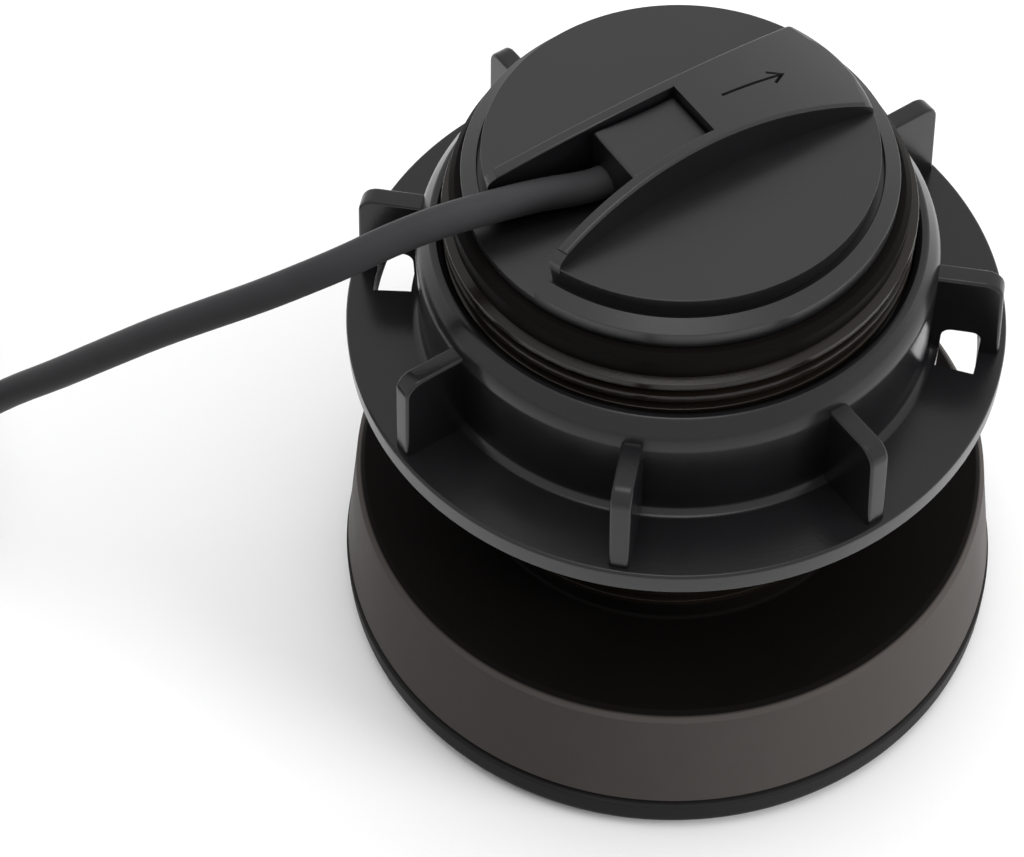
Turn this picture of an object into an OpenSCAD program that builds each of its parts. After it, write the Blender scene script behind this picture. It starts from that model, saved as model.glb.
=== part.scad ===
// Sonar transducer with a flanged base, a threaded stem, a ribbed hull nut and a cable cap.
// Millimetres. The underside of the base lies on z = 0 and the stem stands up along +Z.

/* [Base] */
// Diameter of the base at its lower lip
base_d = 120; // [114:1:130]
// Height of the hull seat above the underside
base_h = 32; // [29:1:40]
// How far the base wall leans in between the lip and the hull seat
wall_lean = 3.6; // [1:0.2:5]
// Chamfer round the hull seat
seat_chamfer = 1.6; // [0.6:0.1:2.4]
// Diameter of the cavity in the base
cavity_d = 102; // [96:1:104]
// Thickness of the roof over the cavity
roof_t = 6; // [4:0.5:7]

/* [Acoustic window] */
// Thickness of the window under the element
window_t = 5; // [3:0.5:6]
// Height of the rim that shows below the groove
window_rim_h = 7.6; // [6.6:0.1:9]
// Radius of the rim's lower edge
window_round = 5; // [3:0.5:6]
// Height of the spigot that enters the housing
window_spigot_h = 6; // [4:0.5:8]
// Wall of that spigot
window_spigot_t = 4.5; // [3:0.5:6]
// Height of the groove between window and housing
groove_h = 1; // [0.6:0.1:1.6]
// Depth of the groove
groove_deep = 1.6; // [0.8:0.1:2]
// Width of the flat seal
seal_w = 3.6; // [3:0.1:4]
// Thickness of the flat seal
seal_t = 1; // [0.8:0.1:1.4]

/* [Stem] */
// Diameter over the thread
stem_d = 75.6; // [73:0.2:79]
// Length of the stem above the hull seat
stem_h = 71.8; // [66:0.2:90]
// Pitch of the thread
thread_pitch = 3; // [2:0.25:4]
// Depth of the thread
thread_deep = 1.4; // [0.8:0.1:1.8]
// Plain length under the thread
thread_start = 3; // [2:0.5:6]
// Bore below the board's ledge
bore_d = 56; // [52:0.5:57]
// Bore above the ledge, which takes the cap
cap_bore_d = 60; // [58.5:0.5:61]
// Height of the ledge above the hull seat
ledge_h = 28; // [20:1:34]
// Chamfer of the stem's end
stem_chamfer = 2.4; // [1:0.1:3]

/* [Hull nut] */
// Gap between the hull seat and the nut
nut_lift = 36.4; // [8:0.2:42]
// Diameter of the flange
nut_d = 109.8; // [100:0.2:116]
// Thickness of the flange
flange_t = 4.4; // [3:0.2:6]
// Outer diameter of the collar
collar_d = 84.8; // [83:0.2:90]
// Height of the collar above the nut's underside
collar_h = 25.2; // [22:0.2:30]
// Width of the sloping shoulder round the collar's top
shoulder_w = 2.5; // [1:0.1:3]
// Drop of that shoulder
shoulder_drop = 3.4; // [2:0.1:5]
// Fillet where the collar meets the flange
foot_fillet = 1.6; // [0.8:0.1:2.4]
// Clearance between the nut's bore and the thread
nut_fit = 0.3; // [0.2:0.05:0.5]
// Number of ribs
rib_count = 8; // [6:2:10]
// Angle of the first rib
rib_angle = -97.5; // [-180:0.5:180]
// Thickness of a rib
rib_t = 3.4; // [2.6:0.2:4.4]
// Height of a rib above the flange
rib_h = 16.9; // [10:0.1:17]
// How far a rib's foot stands in from the flange's edge
rib_short = 0.8; // [0.7:0.1:2]
// Angle by which a rib's end leans in
rib_draft = 4; // [1:0.5:8]
// Radius of a rib's outer top corner
rib_round = 3; // [1:0.1:4]
// Radial width of the two drain ports
port_w = 6.4; // [4:0.1:7]
// Angle that a port spans
port_span = 14.6; // [12:0.2:22]
// Height of the opening that a port leaves under its rib
port_rise = 4.7; // [3:0.1:8]

/* [Top cap] */
// Diameter of the rim that seats on the stem
rim_d = 68.6; // [66:0.2:70]
// Height of the rim's side
rim_h = 3; // [2:0.1:4]
// Rise of the rim's sloping top
rim_rise = 1.6; // [0.8:0.1:2]
// Diameter of the crown inside the rim
crown_d = 62; // [58:0.5:64]
// Height of the crown above the stem's end
crown_h = 7.1; // [6:0.1:9]
// Length of the spigot in the stem's bore
cap_spigot_h = 9; // [8:0.5:12]
// Wall of that spigot
cap_spigot_t = 5; // [4:0.5:6]
// Angle of the ridge across the crown
ridge_angle = 36; // [0:1:180]
// Width of the ridge in the middle
ridge_w = 14.8; // [13:0.2:17]
// Width of the ridge at the crown's edge
ridge_end_w = 22.4; // [20:0.2:26]
// Height of the ridge above the crown in the middle
ridge_rise = 7.3; // [5:0.1:9]
// Height of the ridge above the crown at its ends
ridge_end_rise = 1; // [0.5:0.1:2]
// Wall on each side of the cable channel
channel_wall = 2.1; // [1.6:0.1:2.6]
// Height of the channel's floor above the stem's end
channel_floor = 1.8; // [1.2:0.1:2.6]
// How far the channel runs past the axis
channel_past = 2.2; // [2:0.2:6]
// Length of the clamp block
clamp_l = 14.6; // [12:0.2:18]
// How far the clamp's level top lies below the ridge's top
clamp_drop = 1.8; // [1.6:0.1:4]
// Section of the ring seal
ring_seal_d = 2.5; // [2:0.1:3]

/* [Element] */
// Diameter of the ceramic disc
element_d = 50; // [40:1:54]
// Thickness of the ceramic disc
element_t = 10.5; // [8:0.5:11]
// Wall of the soft sleeve round it
sleeve_t = 6; // [3:0.5:7]
// Thickness of the soft pad behind it
pad_t = 3.5; // [2:0.5:5]
// Distance of the two element leads from the axis
lead_out = 6; // [4:0.5:10]
// Diameter of a lead
lead_d = 1.2; // [0.8:0.1:1.6]
// Diameter of the temperature sensor
sensor_d = 5; // [4:0.5:6]
// Height of the temperature sensor
sensor_h = 7; // [5:0.5:9]
// Distance of the sensor from the axis
sensor_out = 38; // [36:0.5:40]
// Height of the fill in the stem above the hull seat
fill_h = 18; // [6:1:19]

/* [Board] */
// Thickness of the board
board_t = 1.6; // [1:0.1:2.4]
// Diameter of the transformer
core_d = 22; // [16:0.5:24]
// Height of the transformer
core_h = 13; // [10:0.5:16]
// Wall of the transformer's core
core_wall = 2.5; // [2:0.1:3]
// Distance of the transformer from the axis
core_out = 14; // [12:0.5:16]

/* [Cable] */
// Diameter of the cable
cable_d = 5.2; // [4.4:0.1:5.6]
// Bend of the cable inside the cap
lead_bend = 8; // [6:0.5:9]
// Angle between the cable and the ridge under the clamp
lead_skew = 9; // [0:0.5:9]
// Wall of the rubber grommet
grommet_t = 2; // [1.5:0.1:2.5]
// Length of the grommet in its seat
grommet_h = 6; // [4:0.5:8]
// Diameter of the coil at the middle of its turns
coil_across = 93.6; // [80:0.2:94]
// Turns side by side in the coil
coil_wide = 6; // [4:1:6]
// Layers of turns in the coil
coil_layers = 5; // [3:1:5]
// Thickness of the tie round the coil
tie_t = 0.8; // [0.5:0.1:1]
// Width of the tie
tie_w = 12; // [8:0.5:16]

/* [Plug] */
// Length of the plug's boot
boot_l = 22; // [16:1:30]
// Diameter of the plug's body
plug_d = 16; // [14:0.5:17]
// Length of the plug's body behind the collar
plug_l = 10; // [8:0.5:16]
// Length of the plug's shell in front of the body
shell_l = 18; // [14:0.5:22]
// Diameter of the coupling collar
collar_ring_d = 19; // [18:0.2:20]
// Length of the coupling collar
collar_ring_l = 14; // [10:0.5:16]
// Number of contact pins round the middle one
pin_count = 6; // [4:1:7]
// Diameter of a pin
pin_d = 1.2; // [0.8:0.1:1.5]

/* [Hidden] */
$fn = 96;

// Clearance of pieces that fit in one another, and a margin that carries a cut past a face
fit = 0.1;
past = 1;

// Base and window
lip_r = base_d / 2;
seat_r = lip_r - wall_lean;
cavity_r = cavity_d / 2;
roof_z = base_h - roof_t;
groove_r = lip_r - groove_deep;
groove_top = window_rim_h + groove_h;
wall_step = 0.4;
rim_bevel = 0.5;
window_spigot_r = cavity_r - fit;
window_spigot_top = window_rim_h + window_spigot_h;
seal_r = (cavity_r + groove_r) / 2;

// Stem
stem_r = stem_d / 2;
thread_root_r = stem_r - thread_deep;
stem_top = base_h + stem_h;
stem_end_r = stem_r - stem_chamfer;
thread_from = base_h + thread_start;
thread_turns = floor((stem_h - thread_start - stem_chamfer) / thread_pitch);
bore_r = bore_d / 2;
cap_bore_r = cap_bore_d / 2;
ledge_z = base_h + ledge_h;

// Hull nut, heights measured from its underside
nut_z = base_h + nut_lift;
nut_r = nut_d / 2;
nut_bore_r = stem_r + nut_fit;
collar_r = collar_d / 2;
shoulder_z = collar_h - shoulder_drop;
nut_lead_in = 0.8;
flange_bevel = 0.6;
rib_end = nut_r - rib_short;
rib_top = flange_t + rib_h;
rib_root = 1;
port_clear = 0.2;
port_round = 1.6;
port_in = collar_r + foot_fillet + port_clear;
ports_at = [2, 2 + rib_count / 2];

// Cap
rim_r = rim_d / 2;
crown_r = crown_d / 2;
crown_z = stem_top + crown_h;
rim_side_z = stem_top + rim_h;
rim_top_z = rim_side_z + rim_rise;
cap_spigot_r = cap_bore_r - fit;
cap_spigot_z = stem_top - cap_spigot_h;
cap_core_r = cap_spigot_r - cap_spigot_t;
ring_groove_r = cap_spigot_r - ring_seal_d;
ring_groove_w = ring_seal_d + 2 * fit;
ring_seal_z = cap_spigot_z + cap_spigot_h / 2;
ridge_top = crown_z + ridge_rise;
ridge_fall = ridge_rise - ridge_end_rise;
arch_r = arc_radius(crown_r, ridge_fall);
flank_r = arc_radius(crown_r, (ridge_end_w - ridge_w) / 2);
flank_at = ridge_w / 2 + flank_r;
floor_z = stem_top + channel_floor;
clamp_end = channel_past - fit;
clamp_front = clamp_end - clamp_l;
clamp_top = ridge_top - clamp_drop;

// Cable inside the cap, in the ridge's own axes
cable_r = cable_d / 2;
lead_z = floor_z + cable_r + fit;
lead_down = channel_past;
lead_turn = lead_down - lead_bend;
lead_angle = ridge_angle - lead_skew;
lead_tail = 4;
lead_low = cap_spigot_z - lead_tail;
grommet_r = cable_r + grommet_t;
boss_wall = 2.4;
boss_r = grommet_r + boss_wall;
grommet_lip = 2;
core_wire_d = 1.4;
core_wire_out = 1.2;

// Element stack and fill
element_r = element_d / 2;
element_top = window_t + element_t;
stack_top = element_top + pad_t;
sleeve_r = element_r + fit + sleeve_t;
lead_hole = lead_d + 2 * fit;
sensor_top = window_t + sensor_h;
sensor_wire_d = 0.8;
sensor_wire_gap = 2;
sensor_wire_lift = 2;
sensor_wire_in = 10;
sensor_turn_z = (sensor_top + roof_z) / 2 + sensor_wire_lift;
sensor_rise_at = bore_r - sensor_wire_in;
fill_top = base_h + fill_h;
board_top = ledge_z + board_t;
core_post_r = core_d / 5;

// Coil on the surface beside the object, and the plug that lies on it
coil_at = [-215, 14];
coil_r = coil_across / 2;
coil_in = coil_r - coil_wide * cable_d / 2;
coil_out = coil_r + coil_wide * cable_d / 2;
coil_h = coil_layers * cable_d;
coil_bevel = cable_d / 3;
tie_angle = 100;
tie_in = sqrt(pow(coil_in, 2) - pow(tie_w / 2, 2)) - fit;
plug_yaw = -14;
plug_r = plug_d / 2;
boot_skin = 0.8;
boot_tip_r = cable_r + boot_skin;
shell_step = 1;
shell_r = plug_r - shell_step;
shell_wall = 1;
collar_ring_r = collar_ring_d / 2;
collar_grips = 20;
grip_d = 1.2;
insert_back = 6;
insert_l = shell_l - insert_back;
pin_ring = shell_r / 2;
pin_l = 4.5;

// Route of the cable from the clamp to the coil, and from the coil to the plug
cable_sides = 10;
straight_end = 3;
exit_way = [-cos(lead_angle), -sin(lead_angle), 0];
drop_point = [lead_down * cos(ridge_angle), lead_down * sin(ridge_angle), lead_z];
exit_point = drop_point + (lead_down - clamp_front) * exit_way;
cable_route = concat([exit_point, exit_point + straight_end * exit_way], [
    [-20.9, -9.7, 109.4], [-28.5, -13.3, 110.2], [-36, -16.4, 110], [-43.5, -19.2, 108.4],
    [-50.3, -21.4, 105.8], [-57, -22.4, 102.4], [-64.2, -22.8, 98.3], [-72.7, -22.2, 92.8],
    [-81.7, -21.1, 86.4], [-91.2, -19.9, 79], [-101.2, -18.2, 70.6], [-111.8, -15.4, 61],
    [-121, -11.6, 50], [-129, -7, 38.2], [-136, -1, 25.6], [-141.4, 6.4, 13.4], [-146, 14.4, 6],
    [-150, 22, 3.6]
]);
plug_at = [-234, -24.5, 36.8];
plug_way = [cos(plug_yaw), sin(plug_yaw), 0];
end_route = [
    [-255.5, 2, 30], [-252.5, -8, 30.3], [-248, -15.8, 32.2], [-242.6, -21.2, 35.4],
    plug_at - straight_end * plug_way, plug_at
];

// Radius of the arc that falls by sag over a half chord
function arc_radius(half_chord, sag) = (pow(half_chord, 2) + pow(sag, 2)) / (2 * sag);

// Points of a rounded corner about a centre, from one angle to another
function arc(centre, r, from, to, steps = 8) = [
    for (i = [0 : steps])
        let (a = from + (to - from) * i / steps)
        [centre[0] + r * cos(a), centre[1] + r * sin(a)]
];

// Direction of a route at its point i
function unit(v) = v / norm(v);
function heading(route, i) = unit(route[min(i + 1, len(route) - 1)] - route[max(i - 1, 0)]);

// One ring of points square to a route at its point i
function route_ring(route, i, r, sides) =
    let (along = heading(route, i))
    let (side = unit(cross(along, [0, 0, 1])))
    let (above = cross(side, along))
    [for (k = [0 : sides - 1]) route[i] + r * (cos(360 * k / sides) * side + sin(360 * k / sides) * above)];

// Tube swept along a route's own points
module route_tube(route, r, sides) {
    rings = len(route);
    points = [for (i = [0 : rings - 1]) each route_ring(route, i, r, sides)];
    start = [for (k = [0 : sides - 1]) k];
    end = [for (k = [sides - 1 : -1 : 0]) (rings - 1) * sides + k];
    walls = [
        for (i = [0 : rings - 2], k = [0 : sides - 1])
            let (a = i * sides + k, b = i * sides + (k + 1) % sides)
            each [[a, a + sides, b], [b, a + sides, b + sides]]
    ];
    polyhedron(points, concat([start], [end], walls));
}

// Flat ring
module tube_ring(r_out, r_in, h) {
    difference() {
        cylinder(r = r_out, h = h);
        translate([0, 0, -past]) cylinder(r = r_in, h = h + 2 * past);
    }
}

// Housing

// One ridge of the thread as profile points, from root to root
function thread_ridge(z) = [
    [thread_root_r, z],
    [stem_r, z + 0.3 * thread_pitch],
    [stem_r, z + 0.55 * thread_pitch],
    [thread_root_r, z + 0.85 * thread_pitch]
];

module housing() {
    ridges = [for (i = [0 : thread_turns - 1]) each thread_ridge(thread_from + i * thread_pitch)];
    profile = concat(
        [
            [cavity_r, window_rim_h], [groove_r, window_rim_h], [groove_r, groove_top],
            [lip_r - wall_step, groove_top], [seat_r, base_h - seat_chamfer],
            [seat_r - seat_chamfer, base_h], [thread_root_r, base_h]
        ],
        ridges,
        [
            [thread_root_r, stem_top - (thread_root_r - stem_end_r)], [stem_end_r, stem_top],
            [cap_bore_r, stem_top], [cap_bore_r, ledge_z], [bore_r, ledge_z], [bore_r, roof_z],
            [cavity_r, roof_z]
        ]
    );
    color("#2c2c2d")
    difference() {
        rotate_extrude() polygon(profile);
        translate([0, 0, window_rim_h - past])
            tube_ring(seal_r + seal_w / 2 + fit, seal_r - seal_w / 2 - fit, seal_t + past);
    }
}

// Acoustic window and its seal

module acoustic_window() {
    edge = arc([lip_r - window_round, window_round], window_round, -90, 0);
    profile = concat(
        [[0, 0]],
        edge,
        [
            [lip_r, window_rim_h - rim_bevel], [lip_r - rim_bevel, window_rim_h],
            [window_spigot_r, window_rim_h], [window_spigot_r, window_spigot_top],
            [window_spigot_r - window_spigot_t, window_spigot_top],
            [window_spigot_r - window_spigot_t, window_t], [0, window_t]
        ]
    );
    color("#262627") rotate_extrude() polygon(profile);
}

module window_seal() {
    color("#1a1a1a") translate([0, 0, window_rim_h])
        tube_ring(seal_r + seal_w / 2, seal_r - seal_w / 2, seal_t);
}

// Element stack

module piezo_disc() {
    color("#b9ad97") translate([0, 0, window_t]) cylinder(r = element_r, h = element_t);
}

module element_sleeve() {
    color("#8a6a48") translate([0, 0, window_t])
        tube_ring(sleeve_r, element_r + fit, stack_top - window_t);
}

// Children at both element leads
module at_leads() {
    for (x = [-lead_out, lead_out]) translate([x, 0, 0]) children();
}

module backing_pad() {
    color("#94734f") difference() {
        translate([0, 0, element_top]) cylinder(r = element_r, h = pad_t);
        at_leads() cylinder(d = lead_hole, h = stack_top + past);
    }
}

module temperature_sensor() {
    color("#b08d4f") translate([0, sensor_out, window_t]) cylinder(d = sensor_d, h = sensor_h);
}

module element_leads() {
    color("#b5362c") at_leads()
        translate([0, 0, element_top]) cylinder(d = lead_d, h = ledge_z - element_top);
}

// Path of one sensor lead: up from the sensor, in over the element, and up the stem
module sensor_lead_path(d, from_z, to_z) {
    translate([0, sensor_out, from_z]) cylinder(d = d, h = sensor_turn_z - from_z);
    translate([0, sensor_out, sensor_turn_z]) sphere(d = d);
    translate([0, sensor_out, sensor_turn_z]) rotate([90, 0, 0])
        cylinder(d = d, h = sensor_out - sensor_rise_at);
    translate([0, sensor_rise_at, sensor_turn_z]) sphere(d = d);
    translate([0, sensor_rise_at, sensor_turn_z]) cylinder(d = d, h = to_z - sensor_turn_z);
}

// Children at both sensor leads
module at_sensor_leads() {
    for (x = [-sensor_wire_gap / 2, sensor_wire_gap / 2]) translate([x, 0, 0]) children();
}

module sensor_leads() {
    color("#c9c4b4") at_sensor_leads() sensor_lead_path(sensor_wire_d, sensor_top, ledge_z);
}

module potting() {
    inside = window_spigot_r - window_spigot_t - fit;
    profile = [
        [0, window_t], [inside, window_t], [inside, window_spigot_top], [cavity_r - fit, window_spigot_top],
        [cavity_r - fit, roof_z], [bore_r - fit, roof_z], [bore_r - fit, fill_top], [0, fill_top]
    ];
    color("#3a3a33") difference() {
        rotate_extrude() polygon(profile);
        translate([0, 0, window_t - past]) cylinder(r = sleeve_r + fit, h = stack_top - window_t + past);
        translate([0, sensor_out, window_t - past]) cylinder(d = sensor_d + 2 * fit, h = sensor_h + past);
        at_leads() translate([0, 0, element_top]) cylinder(d = lead_hole, h = fill_top);
        at_sensor_leads() sensor_lead_path(sensor_wire_d + 2 * fit, sensor_top - past, fill_top + past);
    }
}

// Board and transformer

module circuit_board() {
    color("#2f5d3a") translate([0, 0, ledge_z]) cylinder(r = cap_bore_r - fit, h = board_t);
}

// Children on the board, where the transformer stands
module at_transformer() {
    rotate([0, 0, ridge_angle]) translate([-core_out, 0, board_top]) children();
}

module transformer_core() {
    color("#3b3b3d") at_transformer() difference() {
        cylinder(d = core_d, h = core_h);
        translate([0, 0, core_wall])
            tube_ring(core_d / 2 - core_wall, core_post_r, core_h - 2 * core_wall);
    }
}

module transformer_winding() {
    color("#b4632f") at_transformer() translate([0, 0, core_wall])
        tube_ring(core_d / 2 - core_wall - fit, core_post_r + fit, core_h - 2 * core_wall - fit);
}

// Cable inside the cap

// Children on the axis of the cable's way down
module at_cable_drop() {
    rotate([0, 0, ridge_angle]) translate([lead_down, 0, 0]) children();
}

// Children in the ridge's own axes, turned with the cable about its way down
module along_lead() {
    at_cable_drop() rotate([0, 0, -lead_skew]) translate([-lead_down, 0, 0]) children();
}

// Way of the cable through the cap: level under the clamp, round a bend, and down
module cable_way(r, from, low) {
    along_lead() {
        translate([from, 0, lead_z]) rotate([0, 90, 0]) cylinder(r = r, h = lead_turn - from);
        translate([lead_turn, 0, lead_z - lead_bend]) rotate([90, 0, 0])
            rotate_extrude(angle = 90) translate([lead_bend, 0]) circle(r = r);
        translate([lead_down, 0, low]) cylinder(r = r, h = lead_z - lead_bend - low);
    }
}

module cable_lead_in() {
    color("#37383a") cable_way(cable_r, clamp_front, lead_low);
}

module cable_cores() {
    color("#c8c8c4") at_cable_drop()
        for (a = [0 : 120 : 240])
            rotate([0, 0, a]) translate([core_wire_out, 0, board_top])
                cylinder(d = core_wire_d, h = lead_low - board_top);
}

module cable_grommet() {
    color("#18181a") at_cable_drop() difference() {
        union() {
            translate([0, 0, cap_spigot_z]) cylinder(r = grommet_r, h = grommet_h);
            translate([0, 0, cap_spigot_z - grommet_lip]) cylinder(r = boss_r, h = grommet_lip);
        }
        translate([0, 0, cap_spigot_z - grommet_lip - past])
            cylinder(r = cable_r + fit, h = grommet_h + grommet_lip + 2 * past);
    }
}

// Top cap

// Columns on both sides of the ridge, moved in towards it by a wall
module flanks(set_in, from_z) {
    for (side = [-1, 1]) translate([0, side * flank_at, from_z])
        cylinder(r = flank_r + set_in, h = ridge_top, $fn = 180);
}

// Solid under the ridge's arched top
module under_arch() {
    translate([0, rim_r + past, ridge_top - arch_r]) rotate([90, 0, 0])
        cylinder(r = arch_r, h = 2 * (rim_r + past), $fn = 180);
}

// Space of the cable channel, open at the rim
module channel() {
    difference() {
        translate([-rim_r - past, -rim_r, floor_z])
            cube([rim_r + past + channel_past, 2 * rim_r, ridge_top]);
        flanks(channel_wall, floor_z - past);
    }
}

// Turned form of the cap, with its crown as high as the ridge
module cap_blank() {
    rotate_extrude() polygon([
        [0, cap_spigot_z], [cap_spigot_r, cap_spigot_z],
        [cap_spigot_r, ring_seal_z - ring_groove_w / 2], [ring_groove_r, ring_seal_z - ring_groove_w / 2],
        [ring_groove_r, ring_seal_z + ring_groove_w / 2], [cap_spigot_r, ring_seal_z + ring_groove_w / 2],
        [cap_spigot_r, stem_top], [rim_r, stem_top], [rim_r, rim_side_z], [crown_r, rim_top_z],
        [crown_r, ridge_top], [0, ridge_top]
    ]);
}

module top_cap() {
    color("#333335") difference() {
        intersection() {
            cap_blank();
            rotate([0, 0, ridge_angle]) under_arch();
        }
        rotate([0, 0, ridge_angle]) {
            flanks(0, crown_z);
            channel();
        }
        difference() {
            translate([0, 0, cap_spigot_z - past])
                cylinder(r = cap_core_r, h = cap_spigot_h + past - fit);
            at_cable_drop() translate([0, 0, cap_spigot_z - 2 * past])
                cylinder(r = boss_r, h = cap_spigot_h + 3 * past);
        }
        at_cable_drop() translate([0, 0, cap_spigot_z - past])
            cylinder(r = grommet_r + fit, h = grommet_h + past);
        cable_way(cable_r + fit, clamp_front, cap_spigot_z - past);
    }
}

module cap_seal() {
    color("#141415") translate([0, 0, ring_seal_z]) rotate_extrude()
        translate([ring_groove_r + ring_seal_d / 2, 0]) circle(d = ring_seal_d);
}

module cable_clamp() {
    groove_from = clamp_front - 2 * past;
    groove_l = clamp_l + 4 * past;
    color("#3a3a3c") difference() {
        rotate([0, 0, ridge_angle]) difference() {
            translate([clamp_front, -rim_r, floor_z]) cube([clamp_l, 2 * rim_r, clamp_top - floor_z]);
            flanks(channel_wall + fit, floor_z - past);
        }
        along_lead() {
            translate([groove_from, 0, lead_z]) rotate([0, 90, 0]) cylinder(r = cable_r + fit, h = groove_l);
            translate([groove_from, -cable_r - fit, floor_z - past])
                cube([groove_l, cable_d + 2 * fit, lead_z - floor_z + past]);
        }
    }
}

// Hull nut

module rib() {
    round_z = rib_top - rib_round;
    lean = (round_z - rib_root) * tan(rib_draft);
    round_x = rib_end - lean - rib_round / cos(rib_draft);
    translate([0, rib_t / 2, 0]) rotate([90, 0, 0]) linear_extrude(rib_t) polygon(concat(
        [[collar_r - shoulder_w, rib_root], [rib_end, rib_root]],
        arc([round_x, round_z], rib_round, rib_draft, 90, 6),
        [[collar_r - shoulder_w, rib_top]]
    ));
}

module nut_ring() {
    rotate_extrude() polygon([
        [nut_bore_r + nut_lead_in, 0], [nut_r - flange_bevel, 0], [nut_r, flange_bevel],
        [nut_r, flange_t - flange_bevel], [nut_r - flange_bevel, flange_t],
        [collar_r + foot_fillet, flange_t], [collar_r, flange_t + foot_fillet], [collar_r, shoulder_z],
        [collar_r - shoulder_w, collar_h], [nut_bore_r + nut_lead_in, collar_h],
        [nut_bore_r, collar_h - nut_lead_in], [nut_bore_r, nut_lead_in]
    ]);
}

// Drain port through the flange and the foot of the rib that bridges it
module port() {
    port_out = port_in + port_w;
    round_z = flange_t + port_rise - port_round;
    rotate([0, 0, -port_span / 2]) rotate_extrude(angle = port_span) polygon(concat(
        [[port_in, -past], [port_out, -past]],
        arc([port_out - port_round, round_z], port_round, 0, 90, 4),
        arc([port_in + port_round, round_z], port_round, 90, 180, 4)
    ));
}

module hull_nut() {
    color("#2f2f31") translate([0, 0, nut_z]) difference() {
        union() {
            nut_ring();
            for (i = [0 : rib_count - 1]) rotate([0, 0, rib_angle + i * 360 / rib_count]) rib();
        }
        for (i = ports_at) rotate([0, 0, rib_angle + i * 360 / rib_count]) port();
    }
}

// Cable outside, coil and tie

module cable() {
    color("#37383a") route_tube(cable_route, cable_r, cable_sides);
}

// Children at the coil's middle, on top of the tie's lower run
module at_coil() {
    translate([coil_at[0], coil_at[1], tie_t]) children();
}

module cable_coil() {
    color("#37383a") at_coil() rotate_extrude() polygon([
        [coil_in + coil_bevel, 0], [coil_out - coil_bevel, 0], [coil_out, coil_bevel],
        [coil_out, coil_h - coil_bevel], [coil_out - coil_bevel, coil_h], [coil_in + coil_bevel, coil_h],
        [coil_in, coil_h - coil_bevel], [coil_in, coil_bevel]
    ]);
}

module cable_end() {
    color("#37383a") route_tube(end_route, cable_r, cable_sides);
}

module coil_tie() {
    color("#101012") at_coil() rotate([0, 0, tie_angle]) translate([0, -tie_w / 2, 0]) difference() {
        translate([tie_in - tie_t, 0, -tie_t])
            cube([coil_out - tie_in + 2 * tie_t + fit, tie_w, coil_h + 2 * tie_t + fit]);
        translate([tie_in, -past, 0]) cube([coil_out - tie_in + fit, tie_w + 2 * past, coil_h + fit]);
    }
}

// Plug, along its own axis from the boot's tip

module at_plug() {
    translate(plug_at) rotate([0, 0, plug_yaw]) rotate([0, 90, 0]) children();
}

module plug_boot() {
    color("#1b1b1d") at_plug() cylinder(r1 = boot_tip_r, r2 = shell_r, h = boot_l);
}

module plug_body() {
    color("#202022") at_plug() translate([0, 0, boot_l]) {
        cylinder(r = plug_r, h = plug_l);
        translate([0, 0, plug_l - fit]) tube_ring(shell_r, shell_r - shell_wall, shell_l + fit);
    }
}

module plug_collar() {
    color("#262628") at_plug() translate([0, 0, boot_l + plug_l + fit]) difference() {
        tube_ring(collar_ring_r, shell_r + fit, collar_ring_l);
        for (i = [0 : collar_grips - 1]) rotate([0, 0, i * 360 / collar_grips])
            translate([collar_ring_r + grip_d / 4, 0, -past])
                cylinder(d = grip_d, h = collar_ring_l + 2 * past, $fn = 24);
    }
}

module plug_insert() {
    color("#3a3a3a") at_plug() translate([0, 0, boot_l + plug_l])
        cylinder(r = shell_r - shell_wall - fit, h = insert_l);
}

module plug_pins() {
    color("#c9a545") at_plug() translate([0, 0, boot_l + plug_l + insert_l]) {
        cylinder(d = pin_d, h = pin_l, $fn = 24);
        for (i = [0 : pin_count - 1]) rotate([0, 0, i * 360 / pin_count])
            translate([pin_ring, 0, 0]) cylinder(d = pin_d, h = pin_l, $fn = 24);
    }
}

housing();
acoustic_window();
window_seal();
piezo_disc();
element_sleeve();
backing_pad();
temperature_sensor();
element_leads();
sensor_leads();
potting();
circuit_board();
transformer_core();
transformer_winding();
cable_cores();
cable_lead_in();
cable_grommet();
top_cap();
cap_seal();
cable_clamp();
hull_nut();
cable();
cable_coil();
cable_end();
coil_tie();
plug_boot();
plug_body();
plug_collar();
plug_insert();
plug_pins();
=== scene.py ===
"""Looks of a sonar transducer with a threaded stem, a ribbed hull nut and a coiled cable."""

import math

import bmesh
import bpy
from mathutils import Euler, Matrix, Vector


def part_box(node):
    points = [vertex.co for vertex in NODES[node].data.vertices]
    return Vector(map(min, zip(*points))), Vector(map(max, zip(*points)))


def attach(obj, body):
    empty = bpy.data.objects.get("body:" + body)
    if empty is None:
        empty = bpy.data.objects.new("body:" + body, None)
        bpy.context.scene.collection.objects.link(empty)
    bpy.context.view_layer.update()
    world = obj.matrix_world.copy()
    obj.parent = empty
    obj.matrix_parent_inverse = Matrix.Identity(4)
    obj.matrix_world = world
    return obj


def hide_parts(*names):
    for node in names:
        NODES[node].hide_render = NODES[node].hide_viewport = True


bl_info = {
    "name": "Sonar Transducer",
    "version": (1, 0, 0),
    "blender": (4, 5, 0),
    "location": "3D View > Sidebar > Transducer",
    "description": "Dresses a sonar transducer: housing, window, hull nut, cap, cable and plug",
    "category": "Add Mesh",
}

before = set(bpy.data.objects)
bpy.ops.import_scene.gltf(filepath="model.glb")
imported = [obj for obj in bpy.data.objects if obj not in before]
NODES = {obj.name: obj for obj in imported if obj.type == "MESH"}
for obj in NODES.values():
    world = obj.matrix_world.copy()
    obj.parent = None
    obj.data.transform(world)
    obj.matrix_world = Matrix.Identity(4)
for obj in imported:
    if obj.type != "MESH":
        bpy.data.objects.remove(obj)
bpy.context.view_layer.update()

BODY = "root"
MM = 0.001

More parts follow.
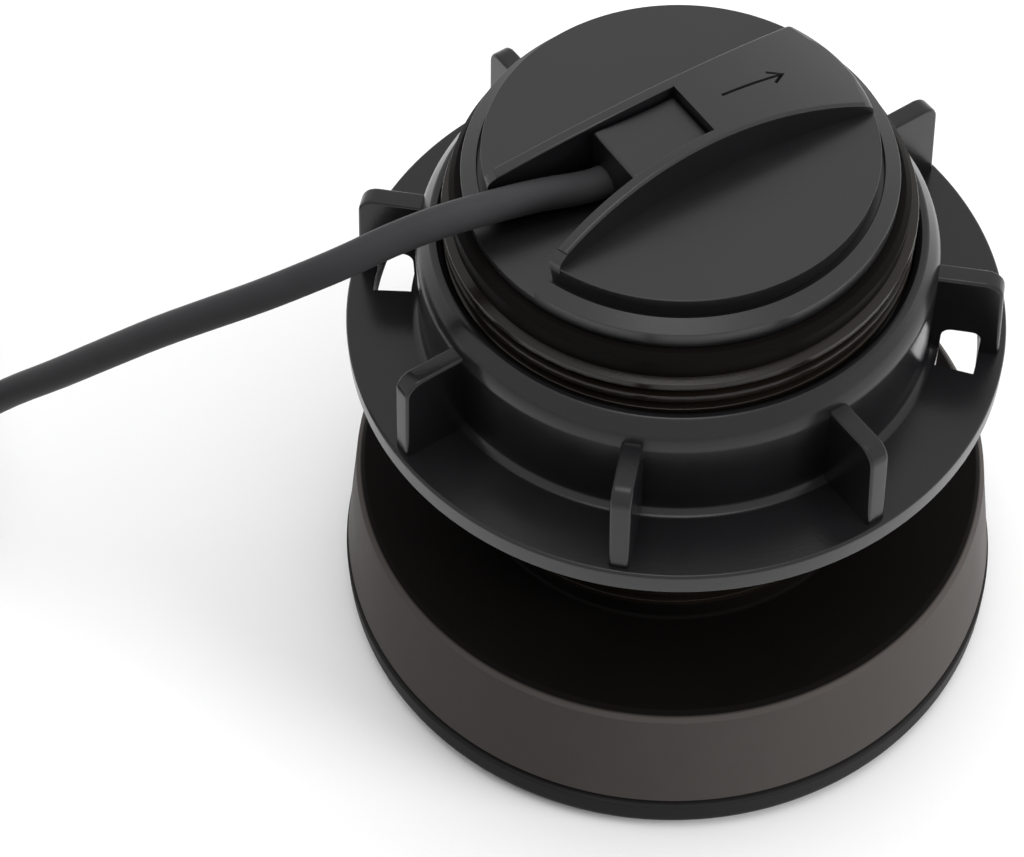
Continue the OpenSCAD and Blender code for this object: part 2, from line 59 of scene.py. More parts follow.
# Heights and radii that the frame gives, in metres
_, WINDOW_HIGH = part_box("acoustic_window")
_, HOUSING_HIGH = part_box("housing")
NUT_LOW, NUT_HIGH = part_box("hull_nut")
CAP_LOW, CAP_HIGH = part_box("top_cap")
LIP_R = WINDOW_HIGH.x
WINDOW_TOP = WINDOW_HIGH.z
STEM_TOP = HOUSING_HIGH.z
NUT_Z = NUT_LOW.z
COLLAR_H = NUT_HIGH.z - NUT_LOW.z
RIDGE_TOP = CAP_HIGH.z
SPIGOT_Z = CAP_LOW.z

# Clearance of pieces that fit together, radius of the finest edges, and a cutter's reach past its piece
FIT = 0.1 * MM
FINE_EDGE = 0.3 * MM
PAST = 2 * MM


# Properties

def length(name, description, millimetres):
    """A length that a user can set, with its default in millimetres."""
    return bpy.props.FloatProperty(
        name=name, description=description, default=millimetres * MM, precision=5, unit="LENGTH",
        subtype="DISTANCE")


def angle(name, description, degrees):
    """An angle that a user can set, with its default in degrees."""
    return bpy.props.FloatProperty(
        name=name, description=description, default=math.radians(degrees), unit="ROTATION",
        subtype="ANGLE")


def count(name, description, number):
    """A whole number that a user can set."""
    return bpy.props.IntProperty(name=name, description=description, default=number, min=1)


def share(name, description, value):
    """A number from 0 to 1 that a user can set."""
    return bpy.props.FloatProperty(
        name=name, description=description, default=value, min=0.0, max=1.0, subtype="FACTOR")


def colour(name, description, value):
    """A linear colour that a user can set."""
    return bpy.props.FloatVectorProperty(
        name=name, description=description, default=value, min=0.0, max=1.0, size=3, subtype="COLOR")


class BaseSizes(bpy.types.PropertyGroup):
    """Sizes of the housing and the acoustic window."""
    seat_z: length("Seat height", "Height of the hull seat above the underside", 32.0)
    wall_lean: length("Wall lean", "How far the wall leans in up to the seat", 3.6)
    wall_step: length("Wall step", "How far the wall's foot stands in from the lip", 0.4)
    seat_chamfer: length("Seat chamfer", "Bevel round the hull seat", 1.6)
    cavity_r: length("Cavity radius", "Radius of the cavity in the base", 51.0)
    roof_t: length("Roof", "Thickness over the cavity", 6.0)
    window_t: length("Window", "Thickness of the window under the element", 5.0)
    rim_z: length("Rim height", "Top of the window's rim", 7.6)
    rim_round: length("Rim round", "Radius of the window's lower edge", 5.0)
    spigot_wall: length("Spigot wall", "Wall of the window's spigot", 4.5)
    groove_h: length("Groove height", "Height of the groove over the rim", 1.0)
    groove_deep: length("Groove depth", "Depth of the groove over the rim", 1.6)
    thread_r: length("Thread radius", "Radius over the thread", 37.8)
    thread_deep: length("Thread depth", "Depth of the thread", 1.4)
    thread_pitch: length("Thread pitch", "Rise of the thread in one turn", 3.0)
    thread_start: length("Thread start", "Plain length under the thread", 3.0)
    stem_chamfer: length("Stem chamfer", "Bevel of the stem's end, from the crest", 2.4)
    bore_r: length("Bore radius", "Bore of the stem under the board", 28.0)
    cap_bore_r: length("Cap bore radius", "Bore of the stem that takes the cap", 30.0)
    ledge_z: length("Ledge height", "Height of the board's ledge", 60.0)
    root_round: length("Root round", "Fillet at the stem's foot", 0.8)
    groove_edge: length("Groove edge", "Radius in the groove over the rim", 0.2)
    edge: length("Edge radius", "Radius of the moulded edges", 0.5)


class NutSizes(bpy.types.PropertyGroup):
    """Sizes of the ribbed hull nut, with heights from its underside."""
    flange_r: length("Flange radius", "Radius of the flange", 54.9)
    flange_t: length("Flange", "Thickness of the flange", 4.4)
    bore_r: length("Bore radius", "Radius of the bore round the thread", 38.1)
    collar_r: length("Collar radius", "Outer radius of the collar", 42.4)
    shoulder_w: length("Shoulder width", "Width of the collar's sloping shoulder", 2.5)
    shoulder_drop: length("Shoulder drop", "Drop of the collar's sloping shoulder", 3.4)
    shoulder_round: length("Shoulder round", "Radius between the collar's wall and its shoulder", 6.0)
    shoulder_edge: length("Shoulder edge", "Radius of the shoulder's upper edge", 0.9)
    foot: length("Foot fillet", "Fillet where the collar meets the flange", 1.6)
    ribs: count("Ribs", "Number of ribs round the collar", 8)
    first_rib: angle("First rib", "Direction of the first rib", -97.5)
    rib_t: length("Rib", "Thickness of a rib", 3.4)
    rib_h: length("Rib height", "Height of a rib above the flange", 16.9)
    rib_short: length("Rib setback", "How far a rib's foot stands in from the flange's edge", 0.8)
    rib_draft: angle("Rib draft", "Angle by which a rib's end leans in", 4.0)
    rib_round: length("Rib round", "Radius of a rib's outer top corner", 3.0)
    port_in: length("Port inside", "Inner radius of the two drain ports", 44.2)
    port_w: length("Port width", "Radial width of the two drain ports", 6.4)
    port_span: angle("Port span", "Angle that a drain port spans", 14.6)
    port_rise: length("Port rise", "Height of the opening that a port leaves under its rib", 4.7)
    port_round: length("Port round", "Radius of that opening's upper corners", 1.6)
    edge: length("Edge radius", "Radius of the moulded edges", 0.55)


class CapSizes(bpy.types.PropertyGroup):
    """Sizes of the cap, its ridge, cable channel and clamp."""
    rim_r: length("Rim radius", "Radius of the rim on the stem", 34.3)
    rim_h: length("Rim height", "Height of the rim's side", 3.0)
    rim_rise: length("Rim rise", "Rise of the rim's sloping top", 1.6)
    crown_r: length("Crown radius", "Radius of the crown inside the rim", 31.0)
    crown_h: length("Crown height", "Height of the crown above the stem", 7.1)
    crown_edge: length("Crown edge", "Radius of the crown's upper edge", 0.15)
    gap_w: length("Crown gap", "Width of the fine groove round the crown's foot", 0.7)
    gap_deep: length("Crown gap depth", "Depth of the fine groove round the crown's foot", 1.2)
    gap_under: length("Crown undercut", "How far the crown's wall leans in down to the groove", 0.6)
    rim_edge: length("Rim edge", "Radius of the rim's outer edge", 0.25)
    core_r: length("Core radius", "Radius of the hollow under the crown", 24.9)
    spigot_r: length("Spigot radius", "Radius of the spigot in the stem", 29.9)
    ridge_angle: angle("Ridge angle", "Direction of the ridge", 36.0)
    ridge_w: length("Ridge width", "Width of the ridge in the middle", 14.8)
    ridge_end_w: length("Ridge end width", "Width of the ridge at the crown's edge", 22.4)
    ridge_end: length("Ridge end", "Height of the ridge above the crown at its ends", 1.0)
    channel_wall: length("Channel wall", "Wall on each side of the cable channel", 2.1)
    channel_floor: length("Channel floor", "Height of the channel's floor above the stem", 1.8)
    channel_past: length("Channel end", "How far the channel runs past the middle", 2.2)
    clamp_l: length("Clamp length", "Length of the clamp block", 14.6)
    clamp_drop: length("Clamp drop", "How far the clamp's level top lies below the ridge", 1.8)
    fit: length("Clearance", "Clearance between cap, clamp and cable", 0.1)
    edge: length("Edge radius", "Radius of the moulded edges", 0.6)
    mark_from: length("Mark start", "Where the engraved pointer starts along the ridge", 7.4)
    mark_l: length("Mark length", "Length of the engraved pointer", 11.5)
    mark_head: length("Mark head", "Length of the strokes of the engraved pointer's head", 2.6)
    mark_w: length("Mark width", "Width of the engraved pointer", 0.55)
    mark_deep: length("Mark depth", "Depth of the engraved pointer", 0.55)


class CableSizes(bpy.types.PropertyGroup):
    """Sizes of the cable, its coil, its tie and its plug."""
    diameter: length("Cable diameter", "Diameter of the cable", 5.2)
    lead_skew: angle("Cable skew", "Angle between the cable and the ridge under the clamp", 9.0)
    total: length("Cable length", "Length of the cable from the cap to the plug", 9250.0)
    coil_x: length("Coil X", "Middle of the coil along X", -215.0)
    coil_y: length("Coil Y", "Middle of the coil along Y", 14.0)
    coil_in: length("Inner turn", "Radius of the coil's innermost turn", 33.8)
    turns_wide: count("Turns side by side", "Turns of cable in one layer of the coil", 6)
    layers: count("Layers", "Layers of turns in the coil", 5)
    coil_start: angle("Coil start", "Direction from the coil's middle to where the cable joins it", 30.0)
    tie_t: length("Tie", "Thickness of the tie", 0.8)
    tie_w: length("Tie width", "Width of the tie", 12.0)
    tie_angle: angle("Tie angle", "Direction from the coil's middle to the tie", 100.0)
    plug_yaw: angle("Plug direction", "Direction in which the plug lies", -14.0)
    boot_l: length("Boot length", "Length of the plug's boot", 22.0)
    boot_t: length("Boot wall", "Wall of the plug's boot at its thin end", 0.8)
    boot_step: length("Boot step", "Step from the plug's body down to its boot", 1.0)
    boot_rings: count("Boot rings", "Grooves round the plug's boot", 6)
    boot_deep: length("Boot groove", "Depth of the grooves round the plug's boot", 0.7)
    plug_r: length("Plug radius", "Radius of the plug's body", 8.0)
    plug_l: length("Plug length", "Length of the plug's body behind its collar", 10.0)
    shell_l: length("Shell length", "Length of the plug's shell", 18.0)
    shell_r: length("Shell radius", "Radius of the plug's shell", 7.0)
    shell_t: length("Shell wall", "Wall of the plug's shell", 1.0)
    ring_r: length("Collar radius", "Radius of the coupling collar", 9.5)
    ring_l: length("Collar length", "Length of the coupling collar", 14.0)
    grips: count("Grips", "Grooves round the coupling collar", 20)
    grip_deep: length("Grip depth", "Depth of the grooves round the coupling collar", 0.5)
    insert_l: length("Insert length", "Length of the insert that holds the pins", 12.0)
    pin_r: length("Pin radius", "Radius of a contact pin", 0.6)
    pin_l: length("Pin length", "Length of a contact pin", 4.5)
    pins: count("Pins", "Contact pins round the middle one", 6)
    plug_edge: length("Plug edge", "Radius of the edges of the plug's body and collar", 0.6)


class Finishes(bpy.types.PropertyGroup):
    """Colours and gloss of the visible finishes."""
    housing: colour("Housing", "Colour of the housing's plastic", (0.005, 0.0043, 0.004))
    # Lighter than the housing's plastic: painted light on the thread's crests, while the stem between them
    # stays dark as shade
    thread: colour("Thread", "Colour of the thread on the stem", (0.009, 0.0068, 0.005))
    # Paler than the housing's plastic: painted light that the base's outer wall catches from the pale floor
    wall: colour("Base wall", "Colour of the base's dull outer wall", (0.082, 0.073, 0.069))
    window: colour("Window", "Colour of the acoustic window", (0.024, 0.0228, 0.0228))
    nut: colour("Nut", "Colour of the nut's plastic", (0.0055, 0.0054, 0.0062))
    cap: colour("Cap", "Colour of the cap's plastic", (0.004, 0.0039, 0.0046))
    jacket: colour("Cable", "Colour of the cable's jacket", (0.036, 0.036, 0.038))
    rubber: colour("Rubber", "Colour of the rubber pieces", (0.012, 0.012, 0.012))
    cloth: colour("Tie", "Colour of the tie", (0.014, 0.014, 0.015))
    plastic_rough: share("Plastic roughness", "Roughness of the nut, the thread and the plug", 0.23)
    cap_rough: share("Cap roughness", "Roughness of the cap and the clamp", 0.31)
    base_rough: share("Base roughness", "Roughness of the housing and the window", 0.42)
    cap_gloss: share("Cap gloss", "How strongly the cap and the clamp mirror light", 0.6)
    thread_gloss: share("Thread gloss", "How strongly the thread mirrors light", 0.28)
    nut_gloss: share("Nut gloss", "How strongly the nut mirrors light", 0.38)
    base_gloss: share("Base gloss", "How strongly the housing mirrors light", 0.025)
    lip_gloss: share("Lip gloss", "How strongly the window and the plug mirror light", 0.02)
    jacket_gloss: share("Cable gloss", "How strongly the cable mirrors light", 0.06)


SETTINGS = {
    "transducer_base": BaseSizes,
    "transducer_nut": NutSizes,
    "transducer_cap": CapSizes,
    "transducer_cable": CableSizes,
    "transducer_finish": Finishes,
}


# Materials

# Range in which most values of a noise lie
NOISE_LOW, NOISE_HIGH = 0.3, 0.7
# Size and detail of the mottle on moulded plastic
MOTTLE = 14 * MM
MOTTLE_DETAIL = 3.0
# Scale at which a wave texture has about one band in a metre
ONE_BAND = 0.32


def new_material(name):
    """An empty node material: its node tree, its shader and a texture coordinate in metres."""
    material = bpy.data.materials.new(name)
    material.use_nodes = True
    tree = material.node_tree
    shader = tree.nodes["Principled BSDF"]
    coordinate = tree.nodes.new("ShaderNodeTexCoord").outputs["Object"]
    return material, tree, shader, coordinate


def noise(tree, coordinate, grain, detail=2.0):
    """Noise whose features are about a grain in size, in metres."""
    node = tree.nodes.new("ShaderNodeTexNoise")
    node.inputs["Scale"].default_value = 1.0 / grain
    node.inputs["Detail"].default_value = detail
    tree.links.new(coordinate, node.inputs["Vector"])
    return node.outputs["Fac"]


def spread(tree, value, low, high):
    """A noise value spread over a range."""
    node = tree.nodes.new("ShaderNodeMapRange")
    node.inputs["From Min"].default_value = NOISE_LOW
    node.inputs["From Max"].default_value = NOISE_HIGH
    node.inputs["To Min"].default_value = low
    node.inputs["To Max"].default_value = high
    tree.links.new(value, node.inputs["Value"])
    return node.outputs["Result"]


def tint(tree, value, base, light):
    """A colour that goes from base to a lighter shade of it with a value."""
    node = tree.nodes.new("ShaderNodeMix")
    node.data_type = "RGBA"
    node.inputs["A"].default_value = (*base, 1.0)
    node.inputs["B"].default_value = (*[min(1.0, part * light) for part in base], 1.0)
    tree.links.new(value, node.inputs["Factor"])
    return node.outputs["Result"]


def relief(tree, shader, height, depth):
    """Bump of a depth in metres on a shader."""
    node = tree.nodes.new("ShaderNodeBump")
    node.inputs["Distance"].default_value = depth
    tree.links.new(height, node.inputs["Height"])
    tree.links.new(node.outputs["Normal"], shader.inputs["Normal"])


def below(tree, coordinate, height, blur=0.2 * MM):
    """1 under a height of the object and 0 over it."""
    parts = tree.nodes.new("ShaderNodeSeparateXYZ")
    tree.links.new(coordinate, parts.inputs["Vector"])
    node = tree.nodes.new("ShaderNodeMapRange")
    node.inputs["From Min"].default_value = height + blur
    node.inputs["From Max"].default_value = height - blur
    tree.links.new(parts.outputs["Z"], node.inputs["Value"])
    return node.outputs["Result"]


def grained(name, base, light, patch, rough, grain, depth, detail=MOTTLE_DETAIL):
    """A material and its shader, with patches of lighter and duller shade and a fine grain in relief."""
    material, tree, shader, coordinate = new_material(name)
    value = noise(tree, coordinate, patch, detail)
    tree.links.new(tint(tree, value, base, light), shader.inputs["Base Color"])
    tree.links.new(spread(tree, value, *rough), shader.inputs["Roughness"])
    relief(tree, shader, noise(tree, coordinate, grain), depth)
    return material, shader


def moulded_plastic(name, base, rough, gloss):
    """Satin moulded plastic with a fine sparked grain and a faint mottle."""
    material, shader = grained(
        name, base, light=1.25, patch=MOTTLE, rough=(rough - 0.04, rough + 0.05), grain=0.5 * MM,
        depth=0.012 * MM)
    shader.inputs["Specular IOR Level"].default_value = gloss
    return material


def paint_floor_light_below(material, skin, height):
    """Gives moulded plastic a paler colour under a height of the object: painted light that the base's wall
    catches from the pale floor.
    """
    tree = material.node_tree
    base = tree.nodes["Principled BSDF"].inputs["Base Color"]
    coordinate = tree.nodes["Texture Coordinate"].outputs["Object"]
    mottle = noise(tree, coordinate, MOTTLE, MOTTLE_DETAIL)
    either = tree.nodes.new("ShaderNodeMix")
    either.data_type = "RGBA"
    tree.links.new(below(tree, coordinate, height), either.inputs["Factor"])
    tree.links.new(base.links[0].from_socket, either.inputs["A"])
    tree.links.new(tint(tree, mottle, skin, light=1.2), either.inputs["B"])
    tree.links.new(either.outputs["Result"], base)


def rubber(name, base):
    """Soft dull rubber with a slightly uneven skin."""
    material, _ = grained(
        name, base, light=1.4, patch=6 * MM, rough=(0.56, 0.7), grain=0.8 * MM, depth=0.02 * MM)
    return material


def cable_jacket(name, base, gloss):
    """Extruded cable jacket: satin, with faint scuffs."""
    material, shader = grained(
        name, base, light=1.35, patch=9 * MM, rough=(0.4, 0.5), grain=1.2 * MM, depth=0.02 * MM, detail=4.0)
    shader.inputs["Specular IOR Level"].default_value = gloss
    return material


def woven_cloth(name, base):
    """Woven strap: two crossing sets of threads."""
    spacing = 0.9 * MM
    material, tree, shader, coordinate = new_material(name)
    weave = tree.nodes.new("ShaderNodeMath")
    weave.operation = "MULTIPLY"
    for direction, height in zip(("X", "Z"), weave.inputs):
        wave = tree.nodes.new("ShaderNodeTexWave")
        wave.bands_direction = direction
        wave.inputs["Scale"].default_value = ONE_BAND / spacing
        wave.inputs["Distortion"].default_value = 0.6
        tree.links.new(coordinate, wave.inputs["Vector"])
        tree.links.new(wave.outputs["Fac"], height)
    tree.links.new(tint(tree, weave.outputs[0], base, light=2.2), shader.inputs["Base Color"])
    relief(tree, shader, weave.outputs[0], depth=0.15 * MM)
    shader.inputs["Roughness"].default_value = 0.85
    shader.inputs["Sheen Weight"].default_value = 0.3
    return material


def metal(name, base, rough):
    """Turned metal with fine uneven polish."""
    material, shader = grained(
        name, base, light=1.12, patch=1.5 * MM, rough=(rough - 0.06, rough + 0.08), grain=0.3 * MM,
        depth=0.004 * MM)
    shader.inputs["Metallic"].default_value = 1.0
    return material


def plain_inner(name, base, rough, grain, depth):
    """Finish of a piece inside the housing: tinted, with its own grain."""
    material, _ = grained(
        name, base, light=1.3, patch=5 * grain, rough=(rough - 0.05, rough + 0.08), grain=grain, depth=depth)
    return material


# Outlines

# Half angle past which a corner counts as straight
NEARLY_STRAIGHT = math.radians(89)
# Largest share of a straight run that one rounded corner takes
CORNER_SHARE = 0.48


def fillet(before, corner, after, radius, steps):
    """Points of a rounded corner between two straight runs of an outline."""
    corner = Vector(corner)
    back = Vector(before) - corner
    ahead = Vector(after) - corner
    half = back.angle(ahead) / 2
    if radius <= 0 or half > NEARLY_STRAIGHT:
        return [tuple(corner)]
    reach = min(radius / math.tan(half), CORNER_SHARE * back.length, CORNER_SHARE * ahead.length)
    middle = corner + (back.normalized() + ahead.normalized()).normalized() * (reach / math.cos(half))
    start = corner + back.normalized() * reach - middle
    end = corner + ahead.normalized() * reach - middle
    turn = start.angle_signed(end)
    return [tuple(middle + Matrix.Rotation(-turn * i / steps, 2) @ start) for i in range(steps + 1)]


def rounded(corners, steps=4):
    """Closed outline from corners (x, y) or (x, y, radius)."""
    points = []
    for i, (x, y, *radius) in enumerate(corners):
        before = corners[i - 1][:2]
        after = corners[(i + 1) % len(corners)][:2]
        points += fillet(before, (x, y), after, radius[0] if radius else 0, steps)
    return points


def smooth(t):
    """Eased step from 0 to 1."""
    t = min(1.0, max(0.0, t))
    return t * t * (3 - 2 * t)


def mix(a, b, t):
    """Value between a and b."""
    return a + (b - a) * t


def spans(start, end, steps):
    """Evenly spaced values from start to end."""
    return [mix(start, end, k / steps) for k in range(steps + 1)]


# Meshes

# Radius under which a point of a turned outline lies on the axis
ON_AXIS = 1e-7
# How narrow the grooves along a turned piece are
GROOVE_POWER = 4
# Angle past which an edge stays sharp, and how strongly large faces keep their own normals
SHARP_ANGLE = math.radians(35)
FLAT_WEIGHT = 80


def place(name, build):
    """A new object from a bmesh, with all faces turned outward."""
    bmesh.ops.recalc_face_normals(build, faces=build.faces)
    if build.calc_volume(signed=True) < 0:
        bmesh.ops.reverse_faces(build, faces=build.faces[:])
    mesh = bpy.data.meshes.new(name)
    build.to_mesh(mesh)
    build.free()
    piece = bpy.data.objects.new(name, mesh)
    bpy.context.scene.collection.objects.link(piece)
    return piece


def revolve(name, outline, segments, grooves=0, groove_deep=0.0):
    """Solid turned round Z from a closed outline of (radius, height), with grooves along it if any."""
    build = bmesh.new()
    rings = []
    for radius, height in outline:
        if radius < ON_AXIS:
            rings.append([build.verts.new((0, 0, height))])
            continue
        ring = []
        for k in range(segments):
            turn = 2 * math.pi * k / segments
            dip = groove_deep * max(0.0, math.cos(grooves * turn)) ** GROOVE_POWER if grooves else 0.0
            out = radius - dip
            ring.append(build.verts.new((out * math.cos(turn), out * math.sin(turn), height)))
        rings.append(ring)
    for lower, upper in zip(rings, rings[1:] + rings[:1]):
        if len(lower) == len(upper) == 1:
            continue
        for k in range(segments):
            n = (k + 1) % segments
            corners = ((lower, k), (lower, n), (upper, n), (upper, k))
            around = [row[i % len(row)] for row, i in corners]
            build.faces.new(list(dict.fromkeys(around)))
    return place(name, build)


def loft(name, sections):
    """Closed solid through a row of like sections."""
    build = bmesh.new()
    rings = [[build.verts.new(point) for point in section] for section in sections]
    for near, far in zip(rings, rings[1:]):
        for k in range(len(near)):
            n = (k + 1) % len(near)
            build.faces.new((near[k], near[n], far[n], far[k]))
    build.faces.new(rings[0])
    build.faces.new(rings[-1])
    return place(name, build)


def moved(piece, matrix):
    """The piece with its mesh moved by a matrix."""
    piece.data.transform(matrix)
    piece.data.update()
    return piece


def joined(name, pieces):
    """One object from several, which are removed."""
    build = bmesh.new()
    for piece in pieces:
        build.from_mesh(piece.data)
        bpy.data.objects.remove(piece)
    return place(name, build)


def settle(piece):
    """Turns a piece's modifiers into its mesh."""
    bpy.context.view_layer.update()
    shown = piece.evaluated_get(bpy.context.evaluated_depsgraph_get())
    mesh = bpy.data.meshes.new_from_object(shown)
    piece.modifiers.clear()
    piece.data = mesh
    mesh.name = piece.name


def combine(piece, tool, operation):
    """Unites, cuts or crops a piece with a tool, which is removed."""
    change = piece.modifiers.new("combine", "BOOLEAN")
    change.operation = operation
    change.solver = "EXACT"
    change.object = tool
    settle(piece)
    bpy.data.objects.remove(tool)
    if not piece.data.polygons:
        raise RuntimeError(piece.name + " came out empty")


def shade(piece):
    """Smooth shading that breaks at sharp edges and keeps large faces flat beside small rounded edges."""
    piece.data.shade_smooth()
    piece.data.set_sharp_from_angle(angle=SHARP_ANGLE)
    flat = piece.modifiers.new("flat faces", "WEIGHTED_NORMAL")
    flat.mode = "FACE_AREA"
    flat.weight = FLAT_WEIGHT
    flat.keep_sharp = True
    settle(piece)


def dress(piece, material, nodes=()):
    """Gives a finished piece its shading and its finish, puts it on its body and hides the nodes that it
    stands for.
    """
    if piece.type == "MESH":
        shade(piece)
    piece.data.materials.clear()
    piece.data.materials.append(material)
    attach(piece, BODY)
    if nodes:
        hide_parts(*nodes)


# Cable route

ROUTE = [Vector(point) * MM for point in (
    (-20.9, -9.7, 109.4), (-28.5, -13.3, 110.2), (-36, -16.4, 110), (-43.5, -19.2, 108.4),
    (-50.3, -21.4, 105.8), (-57, -22.4, 102.4), (-64.2, -22.8, 98.3), (-72.7, -22.2, 92.8),
    (-81.7, -21.1, 86.4), (-91.2, -19.9, 79), (-101.2, -18.2, 70.6), (-111.8, -15.4, 61),
    (-121, -11.6, 50), (-129, -7, 38.2), (-136, -1, 25.6), (-141.4, 6.4, 13.4), (-146, 14.4, 6),
    (-150, 22, 3.6),
)]
PLUG_AT = Vector((-234, -24.5, 36.8)) * MM
END_ROUTE = [Vector(point) * MM for point in (
    (-255.5, 2, 30), (-252.5, -8, 30.3), (-248, -15.8, 32.2), (-242.6, -21.2, 35.4),
)]
STRAIGHT_END = 3 * MM
# Points in a turn of the coil, and its parts: the last but one climbs if need be, and the last crosses
TURN_POINTS = 24
TURN_PARTS = 6
# Points of the run over the coil, its lift over the end's first point, and its parts: the first climbs
OVER_POINTS = 11
OVER_LIFT = 0.4 * MM
OVER_PARTS = 3


def clamp_front(cap):
    """Where the clamp's outer end lies along the ridge."""
    return cap.channel_past - cap.fit - cap.clamp_l


def lead_height(cap, cable):
    """Height of the cable's middle under the clamp."""
    return STEM_TOP + cap.channel_floor + cable.diameter / 2 + cap.fit


def cable_exit(cap, cable):
    """Point where the cable leaves the clamp, and the direction in which it leaves."""
    turned = cap.ridge_angle - cable.lead_skew
    way = -Vector((math.cos(turned), math.sin(turned), 0))
    held = Vector((math.cos(cap.ridge_angle), math.sin(cap.ridge_angle), 0)) * cap.channel_past
    held.z = lead_height(cap, cable)
    return held + way * (cap.channel_past - clamp_front(cap)), way


def coil_turns(cable):
    """Points of the coil, layer on layer, and of the run over it towards the plug."""
    pitch = cable.diameter
    low = cable.tie_t + pitch / 2
    middle = Vector((cable.coil_x, cable.coil_y, 0))

    def turn_at(number):
        layer, place_in = divmod(number, cable.turns_wide)
        outward = layer % 2 == 1
        step_out = place_in if outward else cable.turns_wide - 1 - place_in
        return cable.coil_in + pitch * step_out, low + pitch * layer

    def point(turn, radius, height):
        return middle + Vector((radius * math.cos(turn), radius * math.sin(turn), height))

    points = []
    turns = cable.turns_wide * cable.layers
    for number in range(turns):
        radius, height = turn_at(number)
        next_radius, next_height = turn_at(number + 1)
        for k in range(TURN_POINTS):
            done = k / TURN_POINTS
            across = smooth(done * TURN_PARTS - (TURN_PARTS - 1))
            up = smooth(done * TURN_PARTS - (TURN_PARTS - 2))
            turn = cable.coil_start + 2 * math.pi * (number + done)
            points.append(point(turn, mix(radius, next_radius, across), mix(height, next_height, up)))
    end = END_ROUTE[0] - middle
    end_turn = math.atan2(end.y, end.x) % (2 * math.pi)
    end_radius = end.to_2d().length
    radius, height = turn_at(turns)
    for k in range(OVER_POINTS):
        done = k / OVER_POINTS
        points.append(point(
            mix(cable.coil_start, end_turn, done), mix(radius, end_radius, smooth(done)),
            mix(height, END_ROUTE[0].z + OVER_LIFT, smooth(OVER_PARTS * done))))
    return points


def cable_line(cap, cable):
    """All points of the cable, from the clamp through the coil to the plug."""
    exit_point, way = cable_exit(cap, cable)
    plug_way = Vector((math.cos(cable.plug_yaw), math.sin(cable.plug_yaw), 0))
    return [
        exit_point, exit_point + way * STRAIGHT_END, *ROUTE, *coil_turns(cable), *END_ROUTE,
        PLUG_AT - plug_way * STRAIGHT_END, PLUG_AT,
    ]


def plug_place(cable):
    """Turns a piece made along Z into the plug's place."""
    return (
        Matrix.Translation(PLUG_AT)
        @ Matrix.Rotation(cable.plug_yaw, 4, "Z")
        @ Matrix.Rotation(math.radians(90), 4, "Y")
    )


# Camera

# Place, turns about X, Y and Z in degrees, and lens and sensor in millimetres
CAMERA_AT = Vector((0, -266.635, 399.245)) * MM
CAMERA_TURNS = (36.341, 1.543, 3.94)
LENS = 88.48
SENSOR = 36
CLIP_NEAR, CLIP_FAR = 0.01, 50


# Operators

class TRANSDUCER_OT_camera(bpy.types.Operator):
    """Adds the camera at the viewing angle of the picture"""
    bl_idname = "transducer.camera"
    bl_label = "Camera"

    def execute(self, context):
        data = bpy.data.cameras.new("camera")
        data.lens = LENS
        data.sensor_width = SENSOR
        data.sensor_fit = "HORIZONTAL"
        data.clip_start = CLIP_NEAR
        data.clip_end = CLIP_FAR
        camera = bpy.data.objects.new("camera", data)
        turned = Euler([math.radians(turn) for turn in CAMERA_TURNS]).to_matrix().to_4x4()
        camera.matrix_world = Matrix.Translation(CAMERA_AT) @ turned
        context.scene.collection.objects.link(camera)
        context.scene.camera = camera
        return {"FINISHED"}


